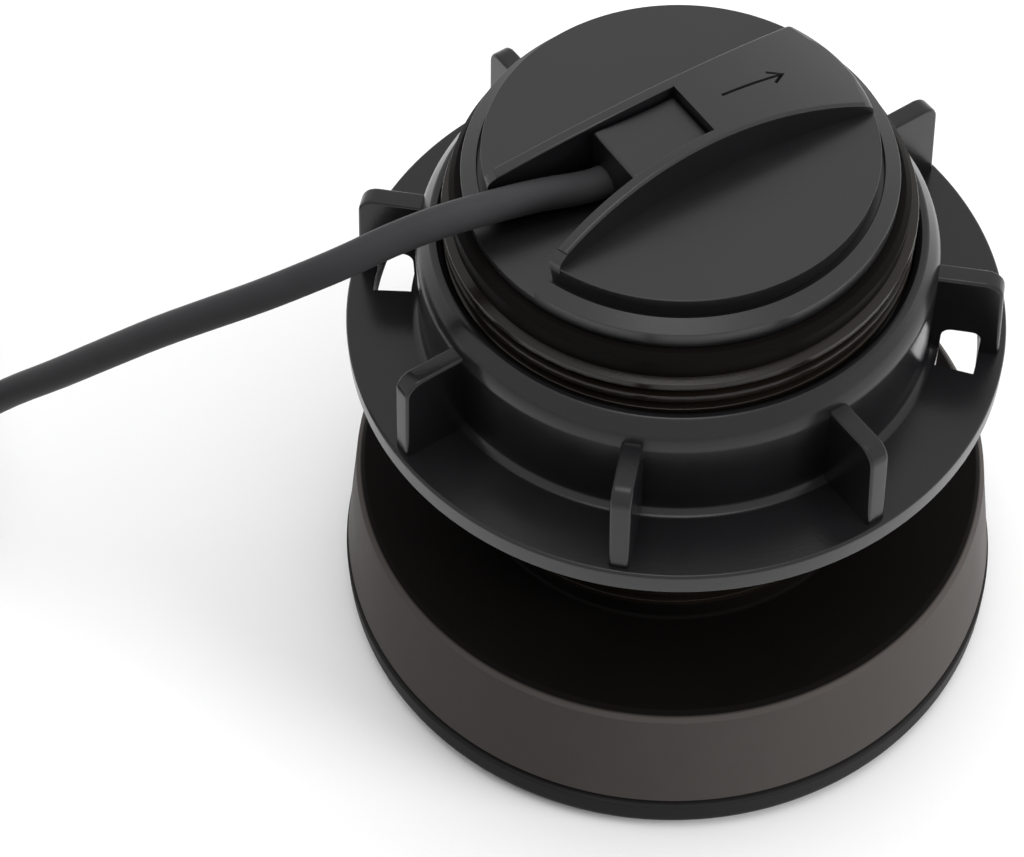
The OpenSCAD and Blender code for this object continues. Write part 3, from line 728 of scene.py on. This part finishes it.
class TRANSDUCER_OT_plug(bpy.types.Operator):
    """Adds the plug on the cable's end: boot, body, collar, insert and pins"""
    bl_idname = "transducer.plug"
    bl_label = "Plug"

    def execute(self, context):
        size = context.scene.transducer_cable
        finish = context.scene.transducer_finish
        where = plug_place(size)
        soft = rubber("boot rubber", finish.rubber)
        plastic = moulded_plastic("plug plastic", finish.window, finish.plastic_rough, finish.lip_gloss)
        brass = metal("pin brass", (0.72, 0.52, 0.22), rough=0.28)
        face = size.boot_l + size.plug_l
        boot = revolve("plug_boot_ribbed", self.boot_outline(size), segments=64)
        body = revolve("plug_body_turned", self.body_outline(size, face), segments=96)
        collar = revolve(
            "plug_collar_grip", self.collar_outline(size, face), segments=160, grooves=size.grips,
            groove_deep=size.grip_deep)
        insert_r = size.shell_r - size.shell_t - FIT
        foot = face + size.insert_l
        insert = revolve("plug_insert_disc", rounded([
            (0, face), (insert_r, face), (insert_r, foot, FINE_EDGE), (0, foot),
        ]), segments=64)
        for piece, material, slot, node in (
            (boot, soft, "seal_rubber", "plug_boot"),
            (body, plastic, "plug_plastic", "plug_body"),
            (collar, plastic, "plug_plastic", "plug_collar"),
            (insert, plastic, "plug_plastic", "plug_insert"),
            (self.pin_set(size, foot), brass, "pin_brass", "plug_pins"),
        ):
            dress(moved(piece, where), material, [node])
        return {"FINISHED"}

    def body_outline(self, size, face):
        """Body with the open shell in front of it."""
        mouth = face + size.shell_l
        inside = size.shell_r - size.shell_t
        return rounded([
            (0, size.boot_l), (size.plug_r, size.boot_l, size.plug_edge), (size.plug_r, face, size.plug_edge),
            (size.shell_r, face), (size.shell_r, mouth, FINE_EDGE), (inside, mouth, FINE_EDGE),
            (inside, face), (0, face),
        ])

    def collar_outline(self, size, face):
        """Coupling collar on the shell."""
        bore = size.shell_r + FIT
        end = face + size.ring_l
        return rounded([
            (bore, face + FIT), (size.ring_r, face + FIT, size.plug_edge), (size.ring_r, end, size.plug_edge),
            (bore, end),
        ])

    def pin_set(self, size, foot):
        """One pin in the middle and the others in a ring round it."""
        tip_round = 0.45 * MM
        turns = [2 * math.pi * k / size.pins for k in range(size.pins)]
        ring = [Vector((math.cos(turn), math.sin(turn), 0)) * size.shell_r / 2 for turn in turns]
        outline = rounded([
            (0, foot), (size.pin_r, foot), (size.pin_r, foot + size.pin_l, tip_round), (0, foot + size.pin_l),
        ])
        return joined("plug_pins_round", [
            moved(revolve("pin", outline, segments=24), Matrix.Translation(at))
            for at in (Vector((0, 0, 0)), *ring)
        ])

    def boot_outline(self, size):
        """Tapered boot with rings round it, as a flexible boot has."""
        tip = size.diameter / 2 + size.boot_t
        root = size.plug_r - size.boot_step
        end_round = 0.4 * MM
        ring_round = 0.25 * MM
        # Start, pitch and form of the grooves, in shares of the boot's length
        first, pitch = 0.12, 0.11
        groove = ((0.0, 0.0), (0.02, size.boot_deep), (0.05, size.boot_deep), (0.07, 0.0))
        corners = [(0, 0), (tip, 0, end_round)]
        for k in range(size.boot_rings):
            for offset, dip in groove:
                along = first + pitch * k + offset
                corners.append((mix(tip, root, along) - dip, along * size.boot_l, ring_round))
        corners += [(root, size.boot_l, end_round), (0, size.boot_l)]
        return rounded(corners, steps=3)


class TRANSDUCER_OT_tie(bpy.types.Operator):
    """Adds the woven tie round the coil"""
    bl_idname = "transducer.tie"
    bl_label = "Coil tie"

    def execute(self, context):
        size = context.scene.transducer_cable
        slack = 0.6 * MM
        corner = 2.2 * MM
        t = size.tie_t
        inner = size.coil_in - size.diameter / 2 - slack
        outer = size.coil_in + (size.turns_wide - 0.5) * size.diameter + FIT
        top = t + size.layers * size.diameter + FIT
        hollow = self.outline(inner, outer, t, top, corner)
        skin = self.outline(inner - t, outer + t, 0, top + t, corner + t)
        build = bmesh.new()
        half = size.tie_w / 2
        rows = []
        for y in (-half, half):
            rows.append([build.verts.new((x, y, z)) for x, z in skin])
            rows.append([build.verts.new((x, y, z)) for x, z in hollow])
        for a, b in ((0, 1), (1, 3), (3, 2), (2, 0)):
            for k in range(len(skin)):
                n = (k + 1) % len(skin)
                build.faces.new((rows[a][k], rows[a][n], rows[b][n], rows[b][k]))
        band = place("coil_tie_woven", build)
        middle = Matrix.Translation((size.coil_x, size.coil_y, 0))
        where = middle @ Matrix.Rotation(size.tie_angle, 4, "Z")
        cloth = woven_cloth("tie cloth", context.scene.transducer_finish.cloth)
        dress(moved(band, where), cloth, ["coil_tie"])
        return {"FINISHED"}

    def outline(self, inner, outer, low, top, corner):
        """Rounded outline of the band's inside or outside, as (radius from the coil's middle, height)."""
        corners = ((inner, low), (outer, low), (outer, top), (inner, top))
        return rounded([(x, z, corner) for x, z in corners], steps=6)


class TRANSDUCER_OT_cable(bpy.types.Operator):
    """Adds the cable from the cap through its coil to the plug"""
    bl_idname = "transducer.cable"
    bl_label = "Cable"

    def execute(self, context):
        size = context.scene.transducer_cable
        cap = context.scene.transducer_cap
        finish = context.scene.transducer_finish
        line = cable_line(cap, size)
        data = bpy.data.curves.new("cable_run", "CURVE")
        data.dimensions = "3D"
        data.resolution_u = 3
        data.bevel_depth = size.diameter / 2
        data.bevel_resolution = 6
        data.use_fill_caps = True
        spline = data.splines.new("BEZIER")
        spline.bezier_points.add(len(line) - 1)
        for knot, at in zip(spline.bezier_points, line):
            knot.co = at
            knot.handle_left_type = knot.handle_right_type = "AUTO"
        run = bpy.data.objects.new("cable_run", data)
        context.scene.collection.objects.link(run)
        jacket = cable_jacket("cable jacket", finish.jacket, finish.jacket_gloss)
        dress(run, jacket, ["cable", "cable_coil", "cable_end"])
        cable_exit(cap, size)[0]
        return {"FINISHED"}


class TRANSDUCER_OT_housing(bpy.types.Operator):
    """Adds the housing with its base and stem, and the thread on the stem"""
    bl_idname = "transducer.housing"
    bl_label = "Housing"

    # Section of the thread from below: drop from its crest in millimetres and share of the pitch, and the
    # shares of the pitch at which its flanks meet the stem
    crest_section = ((0.25, 0.18), (0.07, 0.21), (0, 0.27), (0, 0.56), (0.07, 0.62), (0.25, 0.65))
    foot_shares = (0.08, 0.75)

    def execute(self, context):
        size = context.scene.transducer_base
        finish = context.scene.transducer_finish
        plastic = moulded_plastic("housing plastic", finish.housing, finish.base_rough, finish.base_gloss)
        # Painted light: the wall under the seat takes the paler wall colour for the light that it catches
        # from the floor
        paint_floor_light_below(plastic, finish.wall, size.seat_z - size.seat_chamfer / 2)
        shell = revolve("housing_shell", self.outline(size), segments=256)
        dress(shell, plastic, ["housing"])
        # The thread's lighter colour is painted light on its crests
        crest_lit_plastic = moulded_plastic("thread plastic", finish.thread, finish.plastic_rough, finish.thread_gloss)
        dress(self.thread(size), crest_lit_plastic)
        return {"FINISHED"}

    def outline(self, size):
        """Section of base and stem: the groove, the leaning wall, the seat, the stem and its bores."""
        root = size.thread_r - size.thread_deep
        seat_r = LIP_R - size.wall_lean
        end_r = size.thread_r - size.stem_chamfer
        groove_r = LIP_R - size.groove_deep
        groove_top = size.rim_z + size.groove_h
        roof = size.seat_z - size.roof_t
        return rounded([
            (size.cavity_r, size.rim_z), (groove_r, size.rim_z), (groove_r, groove_top, size.groove_edge),
            (LIP_R - size.wall_step, groove_top, size.edge),
            (seat_r, size.seat_z - size.seat_chamfer, size.edge),
            (seat_r - size.seat_chamfer, size.seat_z, size.edge), (root, size.seat_z, size.root_round),
            (root, STEM_TOP - (root - end_r), FINE_EDGE), (end_r, STEM_TOP, FINE_EDGE),
            (size.cap_bore_r, STEM_TOP), (size.cap_bore_r, size.ledge_z), (size.bore_r, size.ledge_z),
            (size.bore_r, roof), (size.cavity_r, roof),
        ])

    def thread(self, size):
        """Helical ridge that runs up the stem and dies out at both ends."""
        # Sections in a turn, and the parts of a turn, in one of which the thread grows or dies out
        steps = 72
        parts = 4
        sunk = 0.15 * MM
        faint = 0.05 * MM
        root = size.thread_r - size.thread_deep - sunk
        low = size.seat_z + size.thread_start
        rise = STEM_TOP - (size.thread_r - root) - low - size.thread_pitch
        turns = rise / size.thread_pitch
        first, last = self.foot_shares
        sections = []
        for k in range(int(turns * steps) + 1):
            turn = 2 * math.pi * k / steps
            height = low + size.thread_pitch * k / steps
            grown = smooth(k / steps * parts) * smooth((turns - k / steps) * parts)
            crest = mix(root + faint, size.thread_r, grown)
            upper = [(crest - drop * MM, part) for drop, part in self.crest_section]
            sections.append([
                (radius * math.cos(turn), radius * math.sin(turn), height + part * size.thread_pitch)
                for radius, part in ((root, first), *upper, (root, last))
            ])
        return loft("stem_thread", sections)


class TRANSDUCER_OT_window(bpy.types.Operator):
    """Adds the acoustic window under the base"""
    bl_idname = "transducer.window"
    bl_label = "Acoustic window"

    def execute(self, context):
        size = context.scene.transducer_base
        finish = context.scene.transducer_finish
        spigot_r = size.cavity_r - FIT
        inner_r = spigot_r - size.spigot_wall
        window = revolve("window_moulded", rounded([
            (0, 0), (LIP_R, 0, size.rim_round), (LIP_R, size.rim_z, size.edge), (spigot_r, size.rim_z),
            (spigot_r, WINDOW_TOP), (inner_r, WINDOW_TOP), (inner_r, size.window_t), (0, size.window_t),
        ], steps=8), segments=256)
        plastic = moulded_plastic("window plastic", finish.window, finish.base_rough, finish.lip_gloss)
        dress(window, plastic, ["acoustic_window"])
        return {"FINISHED"}


class TRANSDUCER_OT_nut(bpy.types.Operator):
    """Adds the hull nut with its flange, collar, ribs and drain ports"""
    bl_idname = "transducer.nut"
    bl_label = "Hull nut"

    # Which rib has a drain port, counted from 0. The rib across from it has the other.
    port_rib = 2

    def execute(self, context):
        size = context.scene.transducer_nut
        finish = context.scene.transducer_finish
        nut = revolve("nut_ribbed", self.outline(size), segments=256)
        turns = [size.first_rib + 2 * math.pi * k / size.ribs for k in range(size.ribs)]
        combine(nut, joined("ribs", [self.rib(size, turn) for turn in turns]), "UNION")
        for turn in (turns[self.port_rib], turns[self.port_rib + size.ribs // 2]):
            combine(nut, self.port(size, turn), "DIFFERENCE")
        moved(nut, Matrix.Translation((0, 0, NUT_Z)))
        plastic = moulded_plastic("nut plastic", finish.nut, finish.plastic_rough, finish.nut_gloss)
        dress(nut, plastic, ["hull_nut"])
        return {"FINISHED"}

    def outline(self, size):
        """Section of flange and collar, with a bevel at both ends of the bore."""
        lead = 0.8 * MM
        lead_edge = 0.2 * MM
        shoulder_z = COLLAR_H - size.shoulder_drop
        return rounded([
            (size.bore_r + lead, 0), (size.flange_r, 0, size.edge),
            (size.flange_r, size.flange_t, size.edge), (size.collar_r, size.flange_t, size.foot),
            (size.collar_r, shoulder_z, size.shoulder_round),
            (size.collar_r - size.shoulder_w, COLLAR_H, size.shoulder_edge),
            (size.bore_r + lead, COLLAR_H, lead_edge),
            (size.bore_r, COLLAR_H - lead), (size.bore_r, lead),
        ], steps=5)

    def port(self, size, turn):
        """Cutter of one drain port, a bent slot through the flange and its rib's foot."""
        steps = 12
        outer = size.port_in + size.port_w
        top = size.flange_t + size.port_rise
        outline = rounded([
            (size.port_in, -PAST), (outer, -PAST), (outer, top, size.port_round),
            (size.port_in, top, size.port_round),
        ])
        sections = []
        for at in spans(turn - size.port_span / 2, turn + size.port_span / 2, steps):
            out = Vector((math.cos(at), math.sin(at), 0))
            sections.append([out * radius + Vector((0, 0, height)) for radius, height in outline])
        return loft("port", sections)

    def rib(self, size, turn):
        """One rib, from inside the collar to near the flange's edge, with rounded edges."""
        root = MM
        sunk = 1.5 * MM
        top = size.flange_t + size.rib_h
        end = size.flange_r - size.rib_short
        inner = size.collar_r - sunk
        outline = rounded([
            (inner, root), (end, root),
            (end - (top - root) * math.tan(size.rib_draft), top, size.rib_round), (inner, top),
        ], steps=6)
        half = size.rib_t / 2
        rib = loft("rib", [[(x, y, z) for x, z in outline] for y in (-half, half)])
        build = bmesh.new()
        build.from_mesh(rib.data)
        sides = [face for face in build.faces if len(face.verts) > 4]
        edges = {edge for face in sides for edge in face.edges}
        bmesh.ops.bevel(
            build, geom=list(edges), offset=size.edge, segments=3, profile=0.5, affect="EDGES",
            clamp_overlap=True)
        build.to_mesh(rib.data)
        build.free()
        return moved(rib, Matrix.Rotation(turn, 4, "Z"))


class RidgeForm:
    """Form of the cap's ridge along its own axis: half width and top at a distance from the middle."""

    def __init__(self, cap):
        self.crown_z = STEM_TOP + cap.crown_h
        fall = RIDGE_TOP - self.crown_z - cap.ridge_end
        swell = (cap.ridge_end_w - cap.ridge_w) / 2
        self.arch_r = self.arc_radius(cap.crown_r, fall)
        self.flank_r = self.arc_radius(cap.crown_r, swell)
        self.middle_w = cap.ridge_w / 2
        self.floor_z = STEM_TOP + cap.channel_floor

    @staticmethod
    def arc_radius(half_chord, sag):
        """Radius of an arc from half its chord and its sag."""
        return (half_chord ** 2 + sag ** 2) / (2 * sag)

    def half_width(self, at):
        """Half of the ridge's width at a distance from the middle."""
        return self.middle_w + self.flank_r - math.sqrt(self.flank_r ** 2 - at ** 2)

    def top(self, at):
        """Height of the ridge's top at a distance from the middle."""
        return RIDGE_TOP - self.arch_r + math.sqrt(self.arch_r ** 2 - at ** 2)


class TRANSDUCER_OT_cap(bpy.types.Operator):
    """Adds the cap with its crown, ridge, cable channel and pointer mark"""
    bl_idname = "transducer.cap"
    bl_label = "Top cap"

    # Rounding of the ridge's ends: how far in from the crown's edge and how far up, in millimetres
    end_rounding = ((0.02, -0.7), (0.2, -0.1), (0.7, 0.4), (1.6, 0.9))
    # Steps along the pointer's shaft, and how far its head's strokes open for each unit back
    shaft_steps = 8
    head_slope = 0.6

    def execute(self, context):
        size = context.scene.transducer_cap
        finish = context.scene.transducer_finish
        form = RidgeForm(size)
        cap = revolve("cap_moulded", self.outline(size, form), segments=256)
        ridge = self.ridge(size, form)
        combine(ridge, self.end_limit(size, form), "INTERSECT")
        combine(cap, ridge, "UNION")
        combine(cap, self.channel(size, form), "DIFFERENCE")
        combine(cap, self.pointer(size, form), "DIFFERENCE")
        moved(cap, Matrix.Rotation(size.ridge_angle, 4, "Z"))
        plastic = moulded_plastic("cap plastic", finish.cap, finish.cap_rough, finish.cap_gloss)
        dress(cap, plastic, ["top_cap"])
        return {"FINISHED"}

    def outline(self, size, form):
        """Section of spigot, rim and crown, with the fine groove round the crown's foot."""
        slope_edge = 0.15 * MM
        rim_top = STEM_TOP + size.rim_h
        groove_r = size.crown_r + size.gap_w
        slope_top = rim_top + size.rim_rise * (1 - size.gap_w / (size.rim_r - size.crown_r))
        groove_z = slope_top - size.gap_deep
        return rounded([
            (size.core_r, SPIGOT_Z), (size.spigot_r, SPIGOT_Z), (size.spigot_r, STEM_TOP),
            (size.rim_r, STEM_TOP, FINE_EDGE), (size.rim_r, rim_top, size.rim_edge),
            (groove_r, slope_top, slope_edge), (groove_r, groove_z),
            (size.crown_r - size.gap_under, groove_z), (size.crown_r, form.crown_z, size.crown_edge),
            (0, form.crown_z), (0, STEM_TOP), (size.core_r, STEM_TOP),
        ], steps=5)

    def ridge(self, size, form):
        """Arched ridge with rounded upper edges, sunk into the crown."""
        sunk = 1.2 * MM
        reach = size.crown_r + PAST
        low = form.crown_z - sunk
        sections = []
        for at in spans(-reach, reach, steps=48):
            half = form.half_width(at)
            top = form.top(at)
            outline = rounded([(-half, low), (half, low), (half, top, size.edge), (-half, top, size.edge)])
            sections.append([(at, y, z) for y, z in outline])
        return loft("ridge", sections)

    def end_limit(self, size, form):
        """Turned solid that rounds the ridge's two ends down to the crown's edge."""
        end_z = form.top(size.crown_r)
        low = form.crown_z - PAST
        high = RIDGE_TOP + PAST
        edge = [(size.crown_r - back * MM, end_z + rise * MM) for back, rise in self.end_rounding]
        outline = [(0, low), (edge[0][0], low), *edge, (edge[-1][0], high), (0, high)]
        return revolve("limit", outline, segments=192)

    def channel(self, size, form):
        """Cutter of the cable channel, which eases the walls' upper edges."""
        ease = 0.4 * MM
        bulge = 0.3 * ease
        proud = 0.05 * MM
        sections = []
        for at in spans(-size.rim_r - PAST, size.channel_past, steps=40):
            half = form.half_width(at) - size.channel_wall
            top = form.top(at)
            side = [
                (half, form.floor_z), (half, top - ease), (half + bulge, top - bulge),
                (half + ease, top + proud), (half + ease, RIDGE_TOP + PAST),
            ]
            outline = side + [(-y, z) for y, z in reversed(side)]
            sections.append([(at, y, z) for y, z in outline])
        return loft("channel", sections)

    def pointer(self, size, form):
        """Cutter of the engraved pointer on the ridge's plain half, an arrow of V-shaped strokes."""
        proud = 0.02 * MM
        steps = self.shaft_steps
        half = size.mark_w / 2
        tip = Vector((size.mark_from + size.mark_l, 0))
        arm = Vector((-1, self.head_slope)).normalized()
        side = Vector((self.head_slope, 1)).normalized() * half
        neck = tip + arm * ((half + side.y) / arm.y) - side
        shaft = [Vector((x, half)) for x in spans(size.mark_from, neck.x, steps)]
        arm_end = tip + arm * size.mark_head
        nose = tip - arm * (side.y / arm.y) + side
        upper = [*shaft, arm_end - side, arm_end + side]
        outline = [*upper, nose, *[Vector((at.x, -at.y)) for at in reversed(upper)]]
        build = bmesh.new()

        def row(points, lift):
            return [build.verts.new((at.x, at.y, form.top(at.x) + lift)) for at in points]

        rim = row(outline, proud)
        lid = row(outline, PAST)
        root = row([Vector((at.x, 0)) for at in shaft], -size.mark_deep)
        point, over, under = row([tip, arm_end, Vector((arm_end.x, -arm_end.y))], -size.mark_deep)
        for k in range(len(outline)):
            n = (k + 1) % len(outline)
            build.faces.new((rim[k], rim[n], lid[n], lid[k]))
        for k in range(steps):
            build.faces.new((lid[k], lid[k + 1], lid[-2 - k], lid[-1 - k]))
        build.faces.new((lid[steps], lid[steps + 3], lid[-1 - steps]))
        for edge, top, end in ((rim, lid, over), (rim[::-1], lid[::-1], under)):
            at_neck, arm_in, arm_out, at_nose = edge[steps:steps + 4]
            build.faces.new(top[steps:steps + 4])
            for k in range(steps):
                build.faces.new((edge[k], edge[k + 1], root[k + 1], root[k]))
            build.faces.new((at_neck, point, root[steps]))
            build.faces.new((at_neck, arm_in, end, point))
            build.faces.new((arm_in, arm_out, end))
            build.faces.new((arm_out, at_nose, point, end))
        build.faces.new((rim[0], root[0], rim[-1]))
        return place("pointer", build)


class TRANSDUCER_OT_clamp(bpy.types.Operator):
    """Adds the clamp block that holds the cable in the channel"""
    bl_idname = "transducer.clamp"
    bl_label = "Cable clamp"

    def execute(self, context):
        size = context.scene.transducer_cap
        cable = context.scene.transducer_cable
        finish = context.scene.transducer_finish
        form = RidgeForm(size)
        start = clamp_front(size)
        end = size.channel_past - size.fit
        sections = []
        for at, drop in self.stations(start, end, size.edge):
            half = form.half_width(at) - size.channel_wall - size.fit
            low = form.floor_z
            top = RIDGE_TOP - size.clamp_drop - drop
            outline = rounded([(-half, low), (half, low), (half, top, size.edge), (-half, top, size.edge)])
            sections.append([(at, y, z) for y, z in outline])
        block = loft("clamp_block", sections)
        combine(block, self.groove(size, cable, form, (start - PAST, end + PAST)), "DIFFERENCE")
        moved(block, Matrix.Rotation(size.ridge_angle, 4, "Z"))
        plastic = moulded_plastic("clamp plastic", finish.cap, finish.cap_rough, finish.cap_gloss)
        dress(block, plastic, ["cable_clamp"])
        return {"FINISHED"}

    def groove(self, size, cable, form, ends):
        """Cutter of the cable's way under the block, turned by the cable's skew."""
        hole = cable.diameter / 2 + size.fit
        lead = lead_height(size, cable)
        turns = spans(0, math.pi, steps=20)
        arch = [(hole * math.cos(turn), lead + hole * math.sin(turn)) for turn in turns]
        low = form.floor_z - PAST
        outline = [(hole, low), *arch, (-hole, low)]
        cutter = loft("groove", [[(x, y, z) for y, z in outline] for x in ends])
        about = Matrix.Translation((size.channel_past, 0, 0))
        return moved(cutter, about @ Matrix.Rotation(-cable.lead_skew, 4, "Z") @ about.inverted())

    def stations(self, start, end, edge):
        """Places along the block, with the fall of its top towards both ends."""
        rounding = [
            (edge * (1 - math.cos(turn)), edge * (1 - math.sin(turn)))
            for turn in spans(0, math.radians(90), steps=4)
        ]
        middle = spans(start + edge, end - edge, steps=12)[1:-1]
        return (
            [(start + along, drop) for along, drop in rounding]
            + [(at, 0.0) for at in middle]
            + [(end - along, drop) for along, drop in reversed(rounding)]
        )


class TRANSDUCER_OT_inside(bpy.types.Operator):
    """Gives the pieces inside the housing their finishes"""
    bl_idname = "transducer.inside"
    bl_label = "Inner pieces"

    # Colour, roughness, and grain and its depth in millimetres
    plain_finishes = {
        "wire cover": ((0.35, 0.03, 0.025), 0.4, 0.6, 0.01),
        "core cover": ((0.45, 0.43, 0.38), 0.4, 0.6, 0.01),
        "fired ceramic": ((0.5, 0.46, 0.38), 0.55, 0.5, 0.02),
        "cork sleeve": ((0.28, 0.17, 0.08), 0.85, 1.2, 0.2),
        "foam pad": ((0.09, 0.085, 0.08), 0.9, 0.8, 0.2),
        "cast resin": ((0.03, 0.028, 0.022), 0.3, 4, 0.05),
        "board lacquer": ((0.02, 0.12, 0.05), 0.35, 0.6, 0.02),
        "ferrite": ((0.03, 0.03, 0.033), 0.6, 0.4, 0.02),
    }
    # Colour and roughness
    metal_finishes = {
        "sensor brass": ((0.7, 0.5, 0.22), 0.35),
        "winding copper": ((0.62, 0.26, 0.12), 0.35),
    }
    pieces = {
        "window_seal": "seal rubber",
        "cable_grommet": "seal rubber",
        "cap_seal": "seal rubber",
        "piezo_disc": "fired ceramic",
        "element_sleeve": "cork sleeve",
        "backing_pad": "foam pad",
        "temperature_sensor": "sensor brass",
        "element_leads": "wire cover",
        "sensor_leads": "wire cover",
        "potting": "cast resin",
        "circuit_board": "board lacquer",
        "transformer_core": "ferrite",
        "transformer_winding": "winding copper",
        "cable_cores": "core cover",
        "cable_lead_in": "cable jacket",
    }

    def execute(self, context):
        rubber("seal rubber", context.scene.transducer_finish.rubber)
        for name, (base, rough, grain, depth) in self.plain_finishes.items():
            plain_inner(name, base, rough, grain * MM, depth * MM)
        for name, (base, rough) in self.metal_finishes.items():
            metal(name, base, rough)
        for node, name in self.pieces.items():
            slots = NODES[node].data.materials
            slots.clear()
            slots.append(bpy.data.materials[name])
        return {"FINISHED"}


class TRANSDUCER_OT_stage(bpy.types.Operator):
    """Adds the pale floor, the soft lamps and the white surround"""
    bl_idname = "transducer.stage"
    bl_label = "Stage"

    # Half of the floor's side in metres, and its colour where it is seen and for the light that it throws
    floor_half = 4.0
    floor_shown = (0.93, 0.93, 0.93)
    floor_thrown = (0.35, 0.35, 0.35)
    # Strength of the surround's light on the object, and of the white that is seen
    fill_strength = 0.12
    white_strength = 1.0

    def execute(self, context):
        self.floor()
        self.surround(context)
        self.lamp(context, "top lamp", at=(0, 0.5, 1.6), aim=(0, 0.2, 0.05), across=4.2, power=65)
        self.lamp(context, "side lamp", at=(1.6, -0.5, 0.7), aim=(0, 0, 0.05), across=0.9, power=19)
        self.lamp(
            context, "edge lamp", at=(0, -0.05, 1.25), aim=(0, 0, 0.05), across=0.5, power=1.6, mirrored=True)
        context.scene.view_settings.view_transform = "Standard"
        return {"FINISHED"}

    def floor(self):
        """Pale floor that throws less light on the object than it shows."""
        half = self.floor_half
        build = bmesh.new()
        corners = ((-half, -half), (half, -half), (half, half), (-half, half))
        build.faces.new([build.verts.new((x, y, 0)) for x, y in corners])
        floor = place("floor", build)
        material, tree, shader, coordinate = new_material("pale floor")
        faint = noise(tree, coordinate, grain=200 * MM)
        pale = tree.nodes.new("ShaderNodeMix")
        pale.data_type = "RGBA"
        pale.inputs["A"].default_value = (*self.floor_thrown, 1)
        tree.links.new(tint(tree, faint, self.floor_shown, light=1.02), pale.inputs["B"])
        tree.links.new(self.seen(tree), pale.inputs["Factor"])
        tree.links.new(pale.outputs["Result"], shader.inputs["Base Color"])
        shader.inputs["Roughness"].default_value = 0.9
        shader.inputs["Specular IOR Level"].default_value = 0.1
        floor.data.materials.append(material)

    def seen(self, tree):
        """1 for what the camera, a reflection or glass sees, and 0 for light that is thrown on."""
        path = tree.nodes.new("ShaderNodeLightPath")
        value = path.outputs["Is Camera Ray"]
        for other in ("Is Glossy Ray", "Is Transmission Ray"):
            either = tree.nodes.new("ShaderNodeMath")
            either.operation = "MAXIMUM"
            tree.links.new(value, either.inputs[0])
            tree.links.new(path.outputs[other], either.inputs[1])
            value = either.outputs[0]
        return value

    def surround(self, context):
        """White where the camera or a reflection sees it, and a weak fill light elsewhere."""
        world = bpy.data.worlds.new("surround")
        context.scene.world = world
        world.use_nodes = True
        tree = world.node_tree
        fill = tree.nodes["Background"]
        fill.inputs["Color"].default_value = (1, 1, 1, 1)
        fill.inputs["Strength"].default_value = self.fill_strength
        white = tree.nodes.new("ShaderNodeBackground")
        white.inputs["Color"].default_value = (1, 1, 1, 1)
        white.inputs["Strength"].default_value = self.white_strength
        mixed = tree.nodes.new("ShaderNodeMixShader")
        tree.links.new(self.seen(tree), mixed.inputs[0])
        tree.links.new(fill.outputs[0], mixed.inputs[1])
        tree.links.new(white.outputs[0], mixed.inputs[2])
        tree.links.new(mixed.outputs[0], tree.nodes["World Output"].inputs["Surface"])

    def lamp(self, context, name, at, aim, across, power, mirrored=False):
        """Round soft lamp, which reflections show only where it is mirrored."""
        data = bpy.data.lights.new(name, "AREA")
        data.shape = "DISK"
        data.size = across
        data.energy = power
        lamp = bpy.data.objects.new(name, data)
        lamp.location = at
        lamp.rotation_euler = (Vector(aim) - Vector(at)).to_track_quat("-Z", "Y").to_euler()
        lamp.visible_glossy = mirrored
        context.scene.collection.objects.link(lamp)


class TRANSDUCER_PT_sidebar(bpy.types.Panel):
    """Sizes, finishes and steps of the transducer"""
    bl_idname = "TRANSDUCER_PT_sidebar"
    bl_label = "Sonar transducer"
    bl_space_type = "VIEW_3D"
    bl_region_type = "UI"
    bl_category = "Transducer"

    def draw(self, context):
        for name, group in SETTINGS.items():
            column = self.layout.box().column(align=True)
            column.label(text=group.__doc__)
            for prop in group.__annotations__:
                column.prop(getattr(context.scene, name), prop)
        for operator in OPERATORS:
            self.layout.operator(operator.bl_idname)


OPERATORS = (
    TRANSDUCER_OT_camera,
    TRANSDUCER_OT_plug,
    TRANSDUCER_OT_tie,
    TRANSDUCER_OT_cable,
    TRANSDUCER_OT_housing,
    TRANSDUCER_OT_window,
    TRANSDUCER_OT_nut,
    TRANSDUCER_OT_cap,
    TRANSDUCER_OT_clamp,
    TRANSDUCER_OT_inside,
    TRANSDUCER_OT_stage,
)
CLASSES = (*SETTINGS.values(), *OPERATORS, TRANSDUCER_PT_sidebar)


def register():
    for item in CLASSES:
        bpy.utils.register_class(item)
    for name, group in SETTINGS.items():
        setattr(bpy.types.Scene, name, bpy.props.PointerProperty(type=group))


def unregister():
    for name in SETTINGS:
        delattr(bpy.types.Scene, name)
    for item in reversed(CLASSES):
        bpy.utils.unregister_class(item)


def main():
    register()
    bpy.ops.transducer.camera()
    bpy.ops.transducer.plug()
    bpy.ops.transducer.tie()
    bpy.ops.transducer.cable()
    bpy.ops.transducer.housing()
    bpy.ops.transducer.window()
    bpy.ops.transducer.nut()
    bpy.ops.transducer.cap()
    bpy.ops.transducer.clamp()
    bpy.ops.transducer.inside()
    bpy.ops.transducer.stage()


if __name__ == "__main__":
    main()
